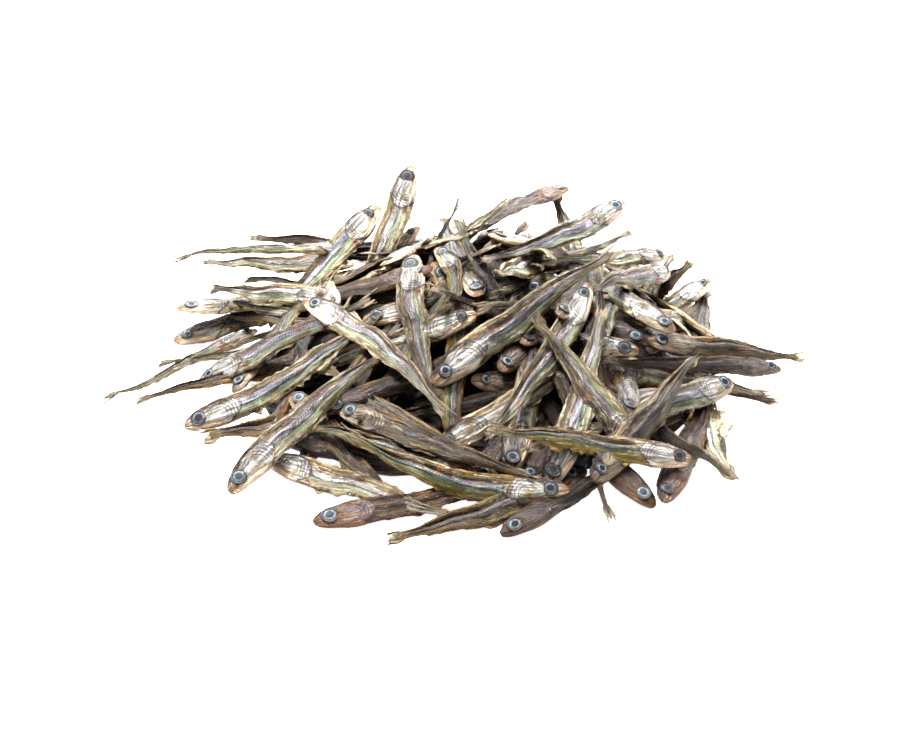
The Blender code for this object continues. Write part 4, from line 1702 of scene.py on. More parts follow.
class Recipe:
    """A material's nodes, added one after another."""

    def __init__(self, name: str) -> None:
        """Starts a material with its plain shader.

        Args:
            name: The material's name.
        """
        self.material = bpy.data.materials.new(name)
        self.material.use_nodes = True
        self.tree = self.material.node_tree
        self.shader = self.tree.nodes["Principled BSDF"]

    def put(self, value: object, socket: bpy.types.NodeSocket) -> None:
        """Links a socket, or sets it to a number, a vector or a colour.

        Args:
            value: What goes in.
            socket: Where it goes.
        """
        if isinstance(value, Signal):
            self.tree.links.new(value.socket, socket)
        elif isinstance(value, tuple) and len(value) == 3 and socket.type == "RGBA":
            socket.default_value = linear(value)
        else:
            socket.default_value = value

    def made(self, kind: str, output: Union[int, str], inputs: dict, **settings: object) -> Signal:
        """Adds a node.

        Args:
            kind: What kind of node it is.
            output: Which of its outputs is wanted.
            inputs: What goes into its sockets, by their names or numbers.
            settings: Its other settings.

        Returns:
            What comes out.
        """
        node = self.tree.nodes.new(f"ShaderNode{kind}")
        for name, value in settings.items():
            setattr(node, name, value)
        for name, value in inputs.items():
            self.put(value, node.inputs[name])
        return Signal(self, node.outputs[output])

    def math(self, operation: str, first: Value, second: Value = 0.0) -> Signal:
        """One sum of two numbers."""
        return self.made("Math", 0, {0: first, 1: second}, operation=operation)

    def place(self, x: Value, y: Value, z: Value) -> Signal:
        """Three numbers as one place."""
        return self.made("CombineXYZ", 0, {0: x, 1: y, 2: z})

    def object_place(self, scale: tuple[float, ...], turn: tuple[float, ...]) -> Signal:
        """Each place in the heap, turned and stretched."""
        at = self.made("TexCoord", "Object", {})
        return self.made("Mapping", 0, {"Vector": at, "Scale": scale, "Rotation": turn})

    def noise(self, at: Signal, kind: Noise) -> Signal:
        """Cloudy unevenness from 0 to 1."""
        inputs = {"Vector": at, "Scale": kind.scale, "Detail": kind.detail}
        return self.made("TexNoise", 0, {**inputs, "Roughness": kind.rough})

    def mix(self, share: Value, first: Tint, second: Tint, blend: str = "MIX") -> Signal:
        """Two colours mixed."""
        inputs = {0: share, 6: first, 7: second}
        return self.made("Mix", 2, inputs, data_type="RGBA", blend_type=blend)

    def layered(self, colour: Tint, *layers: tuple[Value, Tint]) -> Signal:
        """A colour with others laid over it, each by its own share.

        Args:
            colour: The lowest colour.
            layers: The share and the colour of each one above it.

        Returns:
            The colour that shows.
        """
        for share, tint in layers:
            colour = self.mix(share, colour, tint)
        return colour

    def ramp(self, value: Signal, stops: tuple[tuple[float, Rgb], ...]) -> Signal:
        """Colours laid along a value from 0 to 1.

        Args:
            value: The value.
            stops: Each colour and where it lies.

        Returns:
            The colour.
        """
        found = self.made("ValToRGB", 0, {0: value})
        elements = found.socket.node.color_ramp.elements
        while len(elements) < len(stops):
            elements.new(1.0)
        for element, (at, colour) in zip(elements, stops):
            element.position = at
            element.color = linear(colour)
        return found

    def tone(self) -> Signal:
        """The number from 0 to 1 that each fish has for itself."""
        return self.made("Attribute", "Fac", {}, attribute_name="tone")

    def skin_place(self) -> tuple[Signal, Signal]:
        """The share of the fish's length, and the height from -1 at the belly to 1 at the back.

        Returns:
            The share and the height.
        """
        at = self.made("UVMap", 0, {}, uv_map="skin_place")
        share = self.made("SeparateXYZ", 0, {0: at})
        height = Signal(self, share.socket.node.outputs[1])
        return share, height * 2.0 - 1.0

    def open_air(self, reach: float) -> Signal:
        """How far out in the open a place lies, from 0 in a narrow gap to 1; it places painted
        shade.
        """
        gaps = self.made("AmbientOcclusion", "AO", {"Distance": reach}, samples=GAP_SAMPLES)
        return gaps.rise(*GAP_RANGE)

    def bump(self, height: Signal, distance: float, below: Optional[Signal] = None) -> Signal:
        """A fine relief, laid over another one where there is one."""
        under = {} if below is None else {"Normal": below}
        return self.made("Bump", 0, {"Distance": distance, "Height": height, **under})

    def finished(self, inputs: dict[str, object]) -> bpy.types.Material:
        """Feeds the shader, and hands over the material.

        Args:
            inputs: What goes into the shader's sockets, by their names.

        Returns:
            The material.
        """
        for name, value in inputs.items():
            self.put(value, self.shader.inputs[name])
        return self.material


@dataclass
class Grain:
    """Where a place lies on its fish, the fish's own draws, and the unevenness all round."""

    s: Signal
    v: Signal
    own_brown: Signal
    own_dark: Signal
    along: Signal
    across: Signal
    cloudy: Signal
    streaks: Signal
    fibres: Signal
    fine: Signal
    spots: Signal
    blotch: Signal


@dataclass
class Marks:
    """How strongly each mark shows: the parts of the head, the flank's stripe, ribs and cracks."""

    cover: Signal
    jaw: Signal
    brow: Signal
    fan: Signal
    edge: Signal
    mouth: Signal
    stripe: Signal
    ribs: Signal
    crack: Signal


@dataclass(frozen=True)
class SkinFinish:
    """Dried skin: belly-to-back colour bands, ribs, fibres, gill cover, jaw, stains; painted shade
    and highlights.
    """

    name: str
    bands: tuple[tuple[float, Rgb], ...]
    gill: Rgb = (204, 202, 198)
    tarnish: Rgb = (128, 122, 124)
    gill_line: Rgb = (52, 38, 32)
    jaw: Rgb = (214, 198, 180)
    lip: Rgb = (178, 148, 120)
    brow: Rgb = (84, 64, 52)
    tail: Rgb = (154, 138, 104)
    stain: Rgb = (190, 142, 84)
    blood: Rgb = (160, 62, 28)
    # Pale fibres, and a painted highlight on the rise of the folds.
    shadow: Rgb = (52, 34, 20)
    fibre_and_highlight: Rgb = (238, 235, 224)
    fleck: Rgb = (236, 232, 222)
    aged: Rgb = (178, 154, 122)
    rib_shade: Rgb = (124, 110, 114)
    # Painted shade: the brown that the colour is multiplied by in narrow gaps between fish.
    gap_shade: Rgb = (134, 106, 78)
    stain_from: float = 0.60
    fleck_from: float = 0.64
    softness: float = 0.08
    rib: float = 0.75
    ribbed: float = 0.50
    wear: float = 0.28
    gloss: float = 0.38
    silver: float = 0.40
    darkest: float = 0.46
    brownest: float = 0.55
    vividness: float = 1.16
    contrast: float = 1.36
    strength: float = 1.25
    refraction: float = 1.48
    crevice_m: float = 0.012
    cloud: Noise = Noise(0.16, 3.0)
    streak: Noise = Noise(1.0, 5.0, 0.62)
    streak_scale: Pair = (0.11, 1.25)
    thread: Noise = Noise(1.0, 4.0, 0.65)
    thread_scale: Pair = (0.40, 2.7)
    dust: Noise = Noise(1.25, 4.0, 0.7)
    spot: Noise = Noise(0.30, 5.0, 0.6)
    patch: Noise = Noise(0.24, 5.0, 0.6)
    shifts: Triple = (11.0, 31.0, 57.0)
    waver: tuple[float, float, float, float] = (0.26, 0.30, 0.30, 0.25)
    fan_root_mm: Pair = (10.2, -1.3)
    fan_clear_mm: Pair = (1.8, 2.6)
    line_wave: float = 6.6
    dust_depth: float = 0.00045
    thread_depth: float = 0.00060
    fold_depth: float = 0.0022
    line_depth: float = 0.00030

    def grain(self, recipe: Recipe) -> Grain:
        """Finds each place on its fish, and the unevenness there.

        Args:
            recipe: The material in the making.

        Returns:
            The grain.
        """
        s, v = recipe.skin_place()
        fish = recipe.tone()
        tone = fish * TONE_SHIFT
        along = s * LENGTH_MM
        across = v * HALF_DEPTH_MM
        at = recipe.place(along, across, tone)
        cloudy = recipe.noise(at, self.cloud)
        to_thread, to_spot, to_patch = self.shifts
        long, high = self.streak_scale
        streak_at = recipe.place(along * long, across * high + cloudy, tone)
        long, high = self.thread_scale
        thread_at = recipe.place(along * long, across * high, tone + to_thread)
        return Grain(
            s=s,
            v=v,
            own_brown=fish.draw(BROWN_STEP),
            own_dark=fish.draw(DARK_STEP),
            along=along,
            across=across,
            cloudy=cloudy,
            streaks=recipe.noise(streak_at, self.streak),
            fibres=recipe.noise(thread_at, self.thread),
            fine=recipe.noise(at, self.dust),
            spots=recipe.noise(recipe.place(along, across, tone + to_spot), self.spot),
            blotch=recipe.noise(recipe.place(along, across, tone + to_patch), self.patch),
        )

    def marks(self, grain: Grain, wavered: Signal) -> Marks:
        """Finds the head's parts, the stripe, the ribs and the cracks.

        Args:
            grain: The places and the unevenness.
            wavered: The height from belly to back, with wavering edges.

        Returns:
            The marks.
        """
        s, v, cloudy = grain.s, grain.v, grain.cloudy
        off = v + GILL_MIDDLE
        past = s - (off * off * -GILL_BOW + GILL_END + (cloudy - 0.5) * 0.05)
        cover = past.rise(0.006, -0.002)
        slope = v + s * JAW_SLOPE + cloudy * 0.3
        x = grain.along - self.fan_root_mm[0]
        y = grain.across - self.fan_root_mm[1]
        reach = (x * x + y * y).root()
        rings = (reach * self.line_wave + cloudy * 6.0 + grain.fibres * 1.5).wave()
        fan = rings.rise(0.30, 0.80) * reach.rise(*self.fan_clear_mm) * cover
        trunk = s.rise(0.27, 0.30) * s.rise(0.97, 0.88)
        stripe = wavered.rise(-0.25, -0.05) * wavered.rise(0.50, 0.35) * trunk
        chevrons = grain.along + abs(grain.across - 0.5) * 0.9 + cloudy * 2.0
        ribs = (chevrons * self.line_wave).wave().rise(0.20, 0.80)
        cracked = grain.streaks.hump(0.47, 0.030) * s.rise(0.10, 0.30)
        return Marks(
            cover=cover,
            jaw=slope.rise(0.10, -0.10) * s.rise(0.25, 0.19),
            brow=(v + (cloudy - 0.5) * 1.2).rise(0.45, 0.80) * s.rise(0.30, 0.22),
            fan=fan * s.rise(0.12, 0.15) * slope.rise(0.0, 0.5),
            edge=past.hump(0.004, 0.010),
            mouth=slope.hump(0.02, 0.10) * s.rise(0.20, 0.15),
            stripe=stripe,
            ribs=ribs * stripe.or_more(trunk * self.ribbed) * (0.50 + s.rise(0.30, 0.55) * 0.50),
            crack=cracked * grain.blotch.rise(0.36, 0.52),
        )

    def trunk_colour(self, recipe: Recipe, grain: Grain, marks: Marks, wavered: Signal) -> Signal:
        """The bands of the body behind the head, with ribs, stains and the dry tail.

        Args:
            recipe: The material in the making.
            grain: The places and the unevenness.
            marks: How strongly each mark shows.
            wavered: The height from belly to back, with wavering edges.

        Returns:
            The colour.
        """
        fresh = recipe.ramp(wavered * 0.5 + 0.5, self.bands)
        aged = recipe.mix(1.0, fresh, self.aged, "MULTIPLY")
        colour = recipe.mix(grain.own_brown * self.brownest, fresh, aged)
        colour = recipe.mix(marks.ribs * self.rib, colour, self.rib_shade, "MULTIPLY")
        return recipe.layered(
            colour,
            (grain.blotch.rise(0.42, 0.62) * self.wear, self.tail),
            (grain.s.rise(0.76, 1.0) * 0.6, self.tail),
            (grain.spots.rise(self.stain_from, self.stain_from + self.softness) * 0.70, self.stain),
        )

    def head_colour(self, recipe: Recipe, grain: Grain, marks: Marks) -> Signal:
        """The gill cover with its tarnish and fan lines, the brow, the jaw, and the lips.

        Args:
            recipe: The material in the making.
            grain: The places and the unevenness.
            marks: How strongly each mark shows.

        Returns:
            The colour.
        """
        return recipe.layered(
            self.gill,
            (grain.blotch.rise(0.50, 0.66), self.tail),
            (grain.streaks.rise(0.54, 0.38) * 0.75, self.tarnish),
            (marks.brow, self.brow),
            (marks.jaw, self.jaw),
            ((grain.s + grain.fibres * 0.03).rise(0.055, 0.03), self.lip),
            (marks.mouth * 0.8, self.lip),
            (marks.fan * 0.58, self.gill_line),
        )

    def weathered(self, recipe: Recipe, grain: Grain, marks: Marks, colour: Signal) -> Signal:
        """A colour with blood at the gills, cracks, fibres with painted highlights, dust, and
        painted shade.

        Args:
            recipe: The material in the making.
            grain: The places and the unevenness.
            marks: How strongly each mark shows.
            colour: The colour below.

        Returns:
            The colour as it shows.
        """
        streaks, fibres, fine = grain.streaks, grain.fibres, grain.fine
        bled = grain.s.hump(0.28, 0.05) * grain.v.rise(-0.2, -0.7) * grain.blotch.rise(0.52, 0.60)
        colour = recipe.layered(
            colour,
            (marks.edge * 0.80, self.gill_line),
            (bled, self.blood),
            # Cracks in the shadow colour: partly real dark cracks, partly painted shade in them.
            (marks.crack * 0.75, self.shadow),
            # Painted shade in the hollows of the folds, where the streaks are low.
            (streaks.rise(0.35, 0.28) * 0.45, self.shadow),
            # Pale fibres with a painted highlight on the rise of the folds.
            (streaks.hump(0.57, 0.035) * fibres.rise(0.42, 0.56) * 0.75, self.fibre_and_highlight),
            (fine.rise(self.fleck_from, self.fleck_from + self.softness) * 0.65, self.fleck),
            (fine.rise(0.42, 0.32) * 0.45 * (1.0 + marks.cover * -0.7), self.shadow),
        )
        # Painted shade in the gaps between fish: the colour is multiplied by a dark brown where
        # occlusion is high.
        shaded_in_gaps = recipe.mix(1.0, colour, self.gap_shade, "MULTIPLY")
        colour = recipe.mix(1.0 - recipe.open_air(self.crevice_m), colour, shaded_in_gaps)
        # Each fish's own random darkness, times painted shade and light along its threads and
        # folds: darker where their noise is low.
        threads = 0.80 + fibres.rise(0.32, 0.68) * 0.34
        folds = 0.84 + streaks.rise(0.32, 0.66) * 0.24
        light = (1.0 - grain.own_dark * self.darkest) * threads * folds * self.strength
        shaded = recipe.made("VectorMath", 0, {0: colour, "Scale": light}, operation="SCALE")
        deep = recipe.made("Gamma", 0, {"Color": shaded, "Gamma": self.contrast})
        vivid = {"Color": deep, "Saturation": self.vividness}
        return recipe.made("HueSaturation", 0, vivid)

    def relief(self, recipe: Recipe, grain: Grain, marks: Marks) -> Signal:
        """The skin's fine relief: dust, threads, folds with their cracks, and lines.

        Args:
            recipe: The material in the making.
            grain: The places and the unevenness.
            marks: How strongly each mark shows.

        Returns:
            The relief.
        """
        dusty = recipe.bump(grain.fine, self.dust_depth)
        woven = recipe.bump(grain.fibres, self.thread_depth, dusty)
        folded = recipe.bump(grain.streaks + marks.crack * -0.35, self.fold_depth, woven)
        return recipe.bump(marks.ribs * -0.4 + marks.fan * -0.8, self.line_depth, folded)

    def make(self) -> bpy.types.Material:
        """Builds the material.

        Returns:
            The skin.
        """
        recipe = Recipe(self.name)
        grain = self.grain(recipe)
        wavered = grain.v
        uneven = (grain.cloudy, grain.streaks, grain.fibres, grain.own_dark)
        for source, share in zip(uneven, self.waver):
            wavered = wavered + (source - 0.5) * share
        marks = self.marks(grain, wavered)
        trunk = self.trunk_colour(recipe, grain, marks, wavered)
        colour = recipe.mix(marks.cover, trunk, self.head_colour(recipe, grain, marks))
        return recipe.finished(
            {
                "Base Color": self.weathered(recipe, grain, marks, colour),
                "Metallic": self.silver * (marks.stripe * 0.9).or_more(marks.cover),
                "Roughness": self.gloss + (grain.fine - 0.5) * 0.5,
                "IOR": self.refraction,
                "Normal": self.relief(recipe, grain, marks),
            }
        )


@dataclass(frozen=True)
class EyeFinish:
    """One part of the eye: a colour with fine rings or clouds, and a faint gloss."""

    name: str
    colour: Rgb
    cloud: Rgb
    pupil: Rgb = (16, 18, 28)
    dry: Rgb = (50, 42, 38)
    pupil_mm: float = 0.92
    pupil_edge_mm: float = 0.28
    iris_mm: float = 1.60
    rim_mm: float = 2.0
    middle_mm: Pair = (4.8, 0.55)
    half_depth_mm: float = 3.6
    clouds: Noise = Noise(1.1, 4.0, 0.65)
    cloudy: Pair = (0.40, 0.62)
    dried: Pair = (0.50, 0.80)
    most_dried: float = 0.65
    gloss: float = 0.42
    coat: float = 0.08
    shine: float = 0.5
    depth: float = 0.0001

    def make(self) -> bpy.types.Material:
        """Builds the material.

        Returns:
            The eye's part.
        """
        recipe = Recipe(self.name)
        s, v = recipe.skin_place()
        fish = recipe.tone()
        at = recipe.place(s * LENGTH_MM, v * HALF_DEPTH_MM, fish * TONE_SHIFT)
        cloudy = recipe.noise(at, self.clouds)
        x = s * LENGTH_MM - self.middle_mm[0]
        y = v * self.half_depth_mm - self.middle_mm[1]
        away = (x * x + y * y).root() + (cloudy - 0.5) * 0.5
        colour = recipe.layered(
            self.colour,
            (cloudy.rise(*self.cloudy), self.cloud),
            (away.rise(self.iris_mm, self.rim_mm), self.cloud),
            (away.rise(self.pupil_mm + self.pupil_edge_mm, self.pupil_mm), self.pupil),
            (fish.draw(EYE_STEP).rise(*self.dried) * self.most_dried, self.dry),
        )
        return recipe.finished(
            {
                "Base Color": colour,
                "Roughness": self.gloss,
                "Coat Weight": self.coat,
                "Specular IOR Level": self.shine,
                "Normal": recipe.bump(cloudy, self.depth),
            }
        )


@dataclass(frozen=True)
class FinFinish:
    """The dry tail fin: brittle rays, pale between and dark at the roots."""

    name: str
    pale: Rgb = (188, 168, 132)
    ray: Rgb = (104, 82, 58)
    root: Rgb = (120, 98, 72)
    widening: float = 6.0
    narrow_end: float = 4.6
    ray_count: float = 34.0
    rays: Pair = (-0.2, 0.8)
    roots: Pair = (0.975, 0.93)
    clouds: Noise = Noise(0.9, 4.0, 0.65)
    cloudy: Pair = (0.52, 0.66)
    most_cloudy: float = 0.7
    dullness: float = 0.55
    depth: float = 0.00012

    def make(self) -> bpy.types.Material:
        """Builds the material.

        Returns:
            The fin.
        """
        recipe = Recipe(self.name)
        s, v = recipe.skin_place()
        rays = (v / (s * self.widening - self.narrow_end) * self.ray_count).wave()
        at = recipe.place(s * LENGTH_MM, v * HALF_DEPTH_MM, recipe.tone() * TONE_SHIFT)
        cloudy = recipe.noise(at, self.clouds)
        colour = recipe.layered(
            self.pale,
            (rays.rise(*self.rays), self.ray),
            (s.rise(*self.roots), self.root),
            (cloudy.rise(*self.cloudy) * self.most_cloudy, self.ray),
        )
        relief = recipe.bump(rays + cloudy, self.depth)
        return recipe.finished({"Base Color": colour, "Roughness": self.dullness, "Normal": relief})


@dataclass(frozen=True)
class CoreFinish:
    """The tangle deep in the heap, in painted shade: dark in the gaps, and like fish where it lies
    open.
    """

    name: str
    # Painted shade: near black and browns for the shade deep in the heap.
    dark: Rgb = (14, 11, 9)
    brown: Rgb = (38, 30, 23)
    pale: Rgb = (78, 66, 50)
    lit: tuple[tuple[float, Rgb], ...] = (
        (0.34, (58, 46, 36)), (0.43, (132, 118, 88)), (0.48, (176, 172, 146)), (0.52, (70, 62, 60)),
        (0.56, (160, 156, 160)), (0.61, (92, 74, 52)), (0.66, (190, 166, 120)),
    )
    open_m: float = 0.022
    open_air: Pair = (0.25, 0.95)
    most_lit: float = 0.85
    turn: Triple = (0.0, 0.2, 0.6)
    strand_scale: Triple = (90.0, 420.0, 260.0)
    strand: Noise = Noise(1.0, 4.0, 0.6)
    body_scale: Triple = (26.0, 150.0, 110.0)
    body: Noise = Noise(1.0, 6.0, 0.62)
    cloud: Noise = Noise(160.0, 3.0, 0.5)
    dullness: float = 0.8
    shine: float = 0.1
    depth: float = 0.0015

    def make(self) -> bpy.types.Material:
        """Builds the material.

        Returns:
            The tangle.
        """
        recipe = Recipe(self.name)
        strands = recipe.noise(recipe.object_place(self.strand_scale, self.turn), self.strand)
        cloudy = recipe.noise(recipe.made("TexCoord", "Object", {}), self.cloud)
        bodies = recipe.noise(recipe.object_place(self.body_scale, self.turn), self.body)
        # Painted shade and light: fish colours only where occlusion finds the core open.
        free = recipe.open_air(self.open_m).rise(*self.open_air)
        colour = recipe.layered(
            self.dark,
            (strands.rise(0.40, 0.62), self.brown),
            (strands.rise(0.60, 0.74) * cloudy.rise(0.45, 0.60), self.pale),
            (free * self.most_lit, recipe.ramp(bodies, self.lit)),
        )
        return recipe.finished(
            {
                "Base Color": colour,
                "Roughness": self.dullness,
                "Specular IOR Level": self.shine,
                "Normal": recipe.bump(strands, self.depth),
            }
        )


SKINS = {
    SILVER: SkinFinish(
        "silver_skin",
        darkest=0.32,
        rib=0.72,
        bands=(
            (0.00, (230, 218, 188)), (0.035, (170, 142, 104)), (0.08, (184, 178, 138)),
            (0.14, (208, 212, 186)), (0.28, (202, 212, 192)), (0.345, (176, 190, 170)),
            (0.378, (78, 94, 98)), (0.41, (196, 208, 216)), (0.50, (194, 192, 214)),
            (0.625, (194, 188, 200)), (0.655, (104, 88, 88)), (0.70, (166, 150, 112)),
            (0.79, (132, 122, 98)), (0.87, (84, 66, 48)), (0.92, (172, 156, 124)),
            (0.965, (230, 224, 202)), (1.00, (198, 186, 156)),
        ),
    ),
    PALE: SkinFinish(
        "pale_skin",
        bands=(
            (0.00, (228, 216, 188)), (0.05, (198, 182, 146)), (0.20, (228, 228, 202)),
            (0.34, (214, 218, 200)), (0.40, (116, 122, 118)), (0.45, (206, 208, 208)),
            (0.60, (222, 218, 220)), (0.66, (128, 114, 104)), (0.74, (184, 168, 134)),
            (0.86, (136, 116, 84)), (0.91, (210, 198, 168)), (1.00, (200, 182, 148)),
        ),
        stain=(204, 170, 116),
        # A lighter brown for the painted shade in the gaps.
        gap_shade=(184, 164, 138),
        stain_from=0.64,
        rib=0.40,
        darkest=0.16,
        brownest=0.30,
    ),
    OLIVE: SkinFinish(
        "olive_skin",
        bands=(
            (0.00, (208, 190, 144)), (0.07, (168, 148, 102)), (0.20, (176, 182, 138)),
            (0.32, (158, 170, 142)), (0.385, (60, 74, 74)), (0.44, (152, 166, 164)),
            (0.52, (184, 184, 190)), (0.60, (146, 138, 134)), (0.65, (70, 58, 46)),
            (0.76, (150, 130, 84)), (0.86, (86, 66, 42)), (0.92, (190, 168, 124)),
            (1.00, (178, 152, 110)),
        ),
        stain=(204, 152, 66),
        rib=0.7,
        silver=0.2,
        vividness=1.28,
    ),
    TAN: SkinFinish(
        "tan_skin",
        bands=(
            (0.000, (202, 176, 134)), (0.080, (146, 118, 84)), (0.140, (166, 148, 110)),
            (0.320, (152, 134, 100)), (0.360, (60, 48, 40)), (0.400, (72, 62, 58)),
            (0.430, (170, 166, 168)), (0.610, (162, 154, 154)), (0.650, (56, 42, 34)),
            (0.690, (86, 68, 46)), (0.740, (142, 118, 78)), (0.840, (130, 106, 68)),
            (0.880, (62, 46, 32)), (0.930, (168, 146, 108)), (0.970, (208, 190, 152)),
            (1.000, (176, 148, 108)),
        ),
        gill=(190, 176, 160),
        stain=(176, 112, 56),
        rib=0.75,
        silver=0.15,
        lip=(166, 140, 116),
        # Warmer pale fibres with their painted highlight.
        fibre_and_highlight=(222, 204, 170),
        vividness=1.28,
        strength=1.12,
    ),
    DARK: SkinFinish(
        "dark_skin",
        bands=(
            (0.000, (160, 126, 86)), (0.080, (96, 70, 46)), (0.140, (110, 88, 60)),
            (0.320, (94, 76, 52)), (0.360, (40, 30, 24)), (0.410, (48, 38, 34)),
            (0.440, (150, 142, 144)), (0.600, (130, 120, 120)), (0.650, (40, 28, 22)),
            (0.700, (60, 44, 30)), (0.760, (106, 82, 50)), (0.860, (92, 68, 42)),
            (0.900, (48, 34, 24)), (0.950, (172, 144, 104)), (1.000, (120, 94, 66)),
        ),
        gill=(150, 138, 134),
        jaw=(144, 118, 98),
        lip=(126, 100, 80),
        # Darker pale fibres with their painted highlight.
        fibre_and_highlight=(196, 166, 128),
        brow=(70, 54, 46),
        tail=(116, 90, 60),
        stain=(140, 92, 52),
        fleck=(188, 178, 160),
        fleck_from=0.68,
        rib=0.7,
        silver=0.2,
        vividness=1.36,
        strength=1.16,
    ),
}
IRIS = EyeFinish("iris", (128, 141, 148), (66, 74, 84), gloss=0.60, coat=0.0, shine=0.2)
PUPIL = EyeFinish("pupil", (100, 108, 112), (40, 44, 54), gloss=0.55, coat=0.04, shine=0.25)
RIM = EyeFinish("eye_rim", (20, 16, 16), (54, 42, 36), gloss=0.5, coat=0.0)
FIN = FinFinish("dry_fin")
CORE_TANGLE = CoreFinish("painted_shade_tangle")


@dataclass
class Wrap:
    """How a copy of a fish follows its line: a little twist, a few waves and dents of its own."""

    most_twist: float = math.radians(14.0)
    wave: float = 0.00060
    dent: float = 0.00055
    eye_sizes: Pair = (0.68, 1.00)
    eye_zone: Pair = (0.0025, 0.0033)
    fin_from: float = 0.93
    least_fin: float = 0.12
    most_fin: float = 0.75
    floor_gap: float = 0.0001
    wave_counts: Triple = (1.5, 2.6, 4.1)
    dents: int = 5
    fin_flutter: float = 0.0006
    seed: int = 20

    def places(self, shape: Shape, fish: Laid, index: int) -> Array:
        """The copy's vertices.

        Args:
            shape: The finished fish in its own space.
            fish: Where and how it lies.
            index: Its number in the heap, which its own draws go by.

        Returns:
            The places in the heap.
        """
        rng = np.random.default_rng((self.seed, index))
        eye = np.array([shape.eye_place])
        off = shape.places[:, :2] - eye
        near = 1.0 - smooth(*self.eye_zone, np.linalg.norm(off, axis=1))
        drawn = near * (1.0 - rng.uniform(*self.eye_sizes))
        places = shape.places[:, :2] - off * drawn[:, None]
        s = places[:, 0] / FISH.length
        y = places[:, 1] * fish.girth
        z = shape.places[:, 2].copy()
        twist = self.most_twist * rng.uniform(-1.0, 1.0) * np.sin(math.pi * np.clip(s, 0.0, 1.2))
        for count in self.wave_counts:
            calm = smooth(0.15, 0.45, s)
            y = y + calm * self.wave / count * np.sin(2.0 * math.pi * (count * s + rng.uniform()))
            z = z + calm * self.wave / count * np.sin(2.0 * math.pi * (count * s + rng.uniform()))
        for _ in range(self.dents):
            at, up, size = rng.uniform(0.3, 0.85), rng.uniform(-0.6, 0.6), rng.uniform(0.02, 0.05)
            sunk = hump(s, at, size) * hump(y / (FISH.depth / 2), up, 0.35)
            z = z - np.sign(z) * np.minimum(sunk * self.dent, np.abs(z) * 0.5)
        fin = smooth(self.fin_from, 1.0, s)
        y = y * (1.0 - fin * (1.0 - rng.uniform(self.least_fin, self.most_fin)))
        z = z + fin * rng.uniform(-self.fin_flutter, self.fin_flutter)
        spine, side, flank = frames(fish, s)
        turned_y = y * np.cos(twist) - z * np.sin(twist)
        turned_z = y * np.sin(twist) + z * np.cos(twist)
        placed = spine + side * turned_y[:, None] + flank * turned_z[:, None]
        placed[:, 2] = np.maximum(placed[:, 2], self.floor_gap + 0.02 * np.abs(placed[:, 2]))
        return placed


@dataclass
class Shoal:
    """Fish of one colour, each a copy of its model, joined in one piece."""

    name: str
    finish: SkinFinish
    fish: list[tuple[int, Laid, Build]] = field(default_factory=list)
    cell_shape: float = 3.0

    def mesh(self, shapes: dict[Build, Shape], wrap: Wrap) -> bpy.types.Mesh:
        """Copies, wraps and joins the fish.

        Args:
            shapes: The finished fish by build.
            wrap: How a copy follows its line.

        Returns:
            The joined mesh, with its maps and each fish's own tone.
        """
        columns = math.ceil(math.sqrt(len(self.fish) / self.cell_shape))
        rows = math.ceil(len(self.fish) / columns)
        parts = {key: [] for key in ("co", "corner", "count", "patch", "skin", "cell", "tone")}
        base = 0
        for k, (index, fish, build) in enumerate(self.fish):
            shape = shapes[build]
            corner = np.array([k % columns, k // columns])
            tone = np.random.default_rng((wrap.seed, index, 1)).uniform()
            parts["co"].append(wrap.places(shape, fish, index))
            parts["corner"].append(shape.corners + base)
            parts["count"].append(shape.counts)
            parts["patch"].append(shape.patches)
            parts["skin"].append(shape.skin_place)
            parts["cell"].append((shape.cell_place * 0.97 + 0.015 + corner) / (columns, rows))
            parts["tone"].append(np.full(len(shape.places), tone))
            base += len(shape.places)
        joined = {key: np.concatenate(values) for key, values in parts.items()}
        mesh = bpy.data.meshes.new(self.name)
        mesh.vertices.add(base)
        mesh.vertices.foreach_set("co", joined["co"].ravel())
        mesh.loops.add(len(joined["corner"]))
        mesh.loops.foreach_set("vertex_index", joined["corner"].astype(np.int32))
        mesh.polygons.add(len(joined["count"]))
        starts = np.concatenate([[0], np.cumsum(joined["count"])[:-1]])
        mesh.polygons.foreach_set("loop_start", starts.astype(np.int32))
        mesh.polygons.foreach_set("material_index", joined["patch"])
        mesh.update(calc_edges=True)
        for name, values in (("skin_place", joined["skin"]), ("OFBake", joined["cell"])):
            layer = mesh.uv_layers.new(name=name)
            layer.uv.foreach_set("vector", values.astype(np.float32).ravel())
        tone = mesh.attributes.new("tone", "FLOAT", "POINT")
        tone.data.foreach_set("value", joined["tone"].astype(np.float32))
        mesh.shade_smooth()
        return mesh

    def build(
        self, shapes: dict[Build, Shape], wrap: Wrap, eyes: list[bpy.types.Material]
    ) -> Thing:
        """Makes the piece and dresses it.

        Args:
            shapes: The finished fish by build.
            wrap: How a copy follows its line.
            eyes: The materials of the iris, the pupil, the rim and the fin.

        Returns:
            The piece.
        """
        piece = bpy.data.objects.new(self.name, self.mesh(shapes, wrap))
        bpy.context.scene.collection.objects.link(piece)
        for material in [self.finish.make(), *eyes]:
            piece.data.materials.append(material)
        return piece


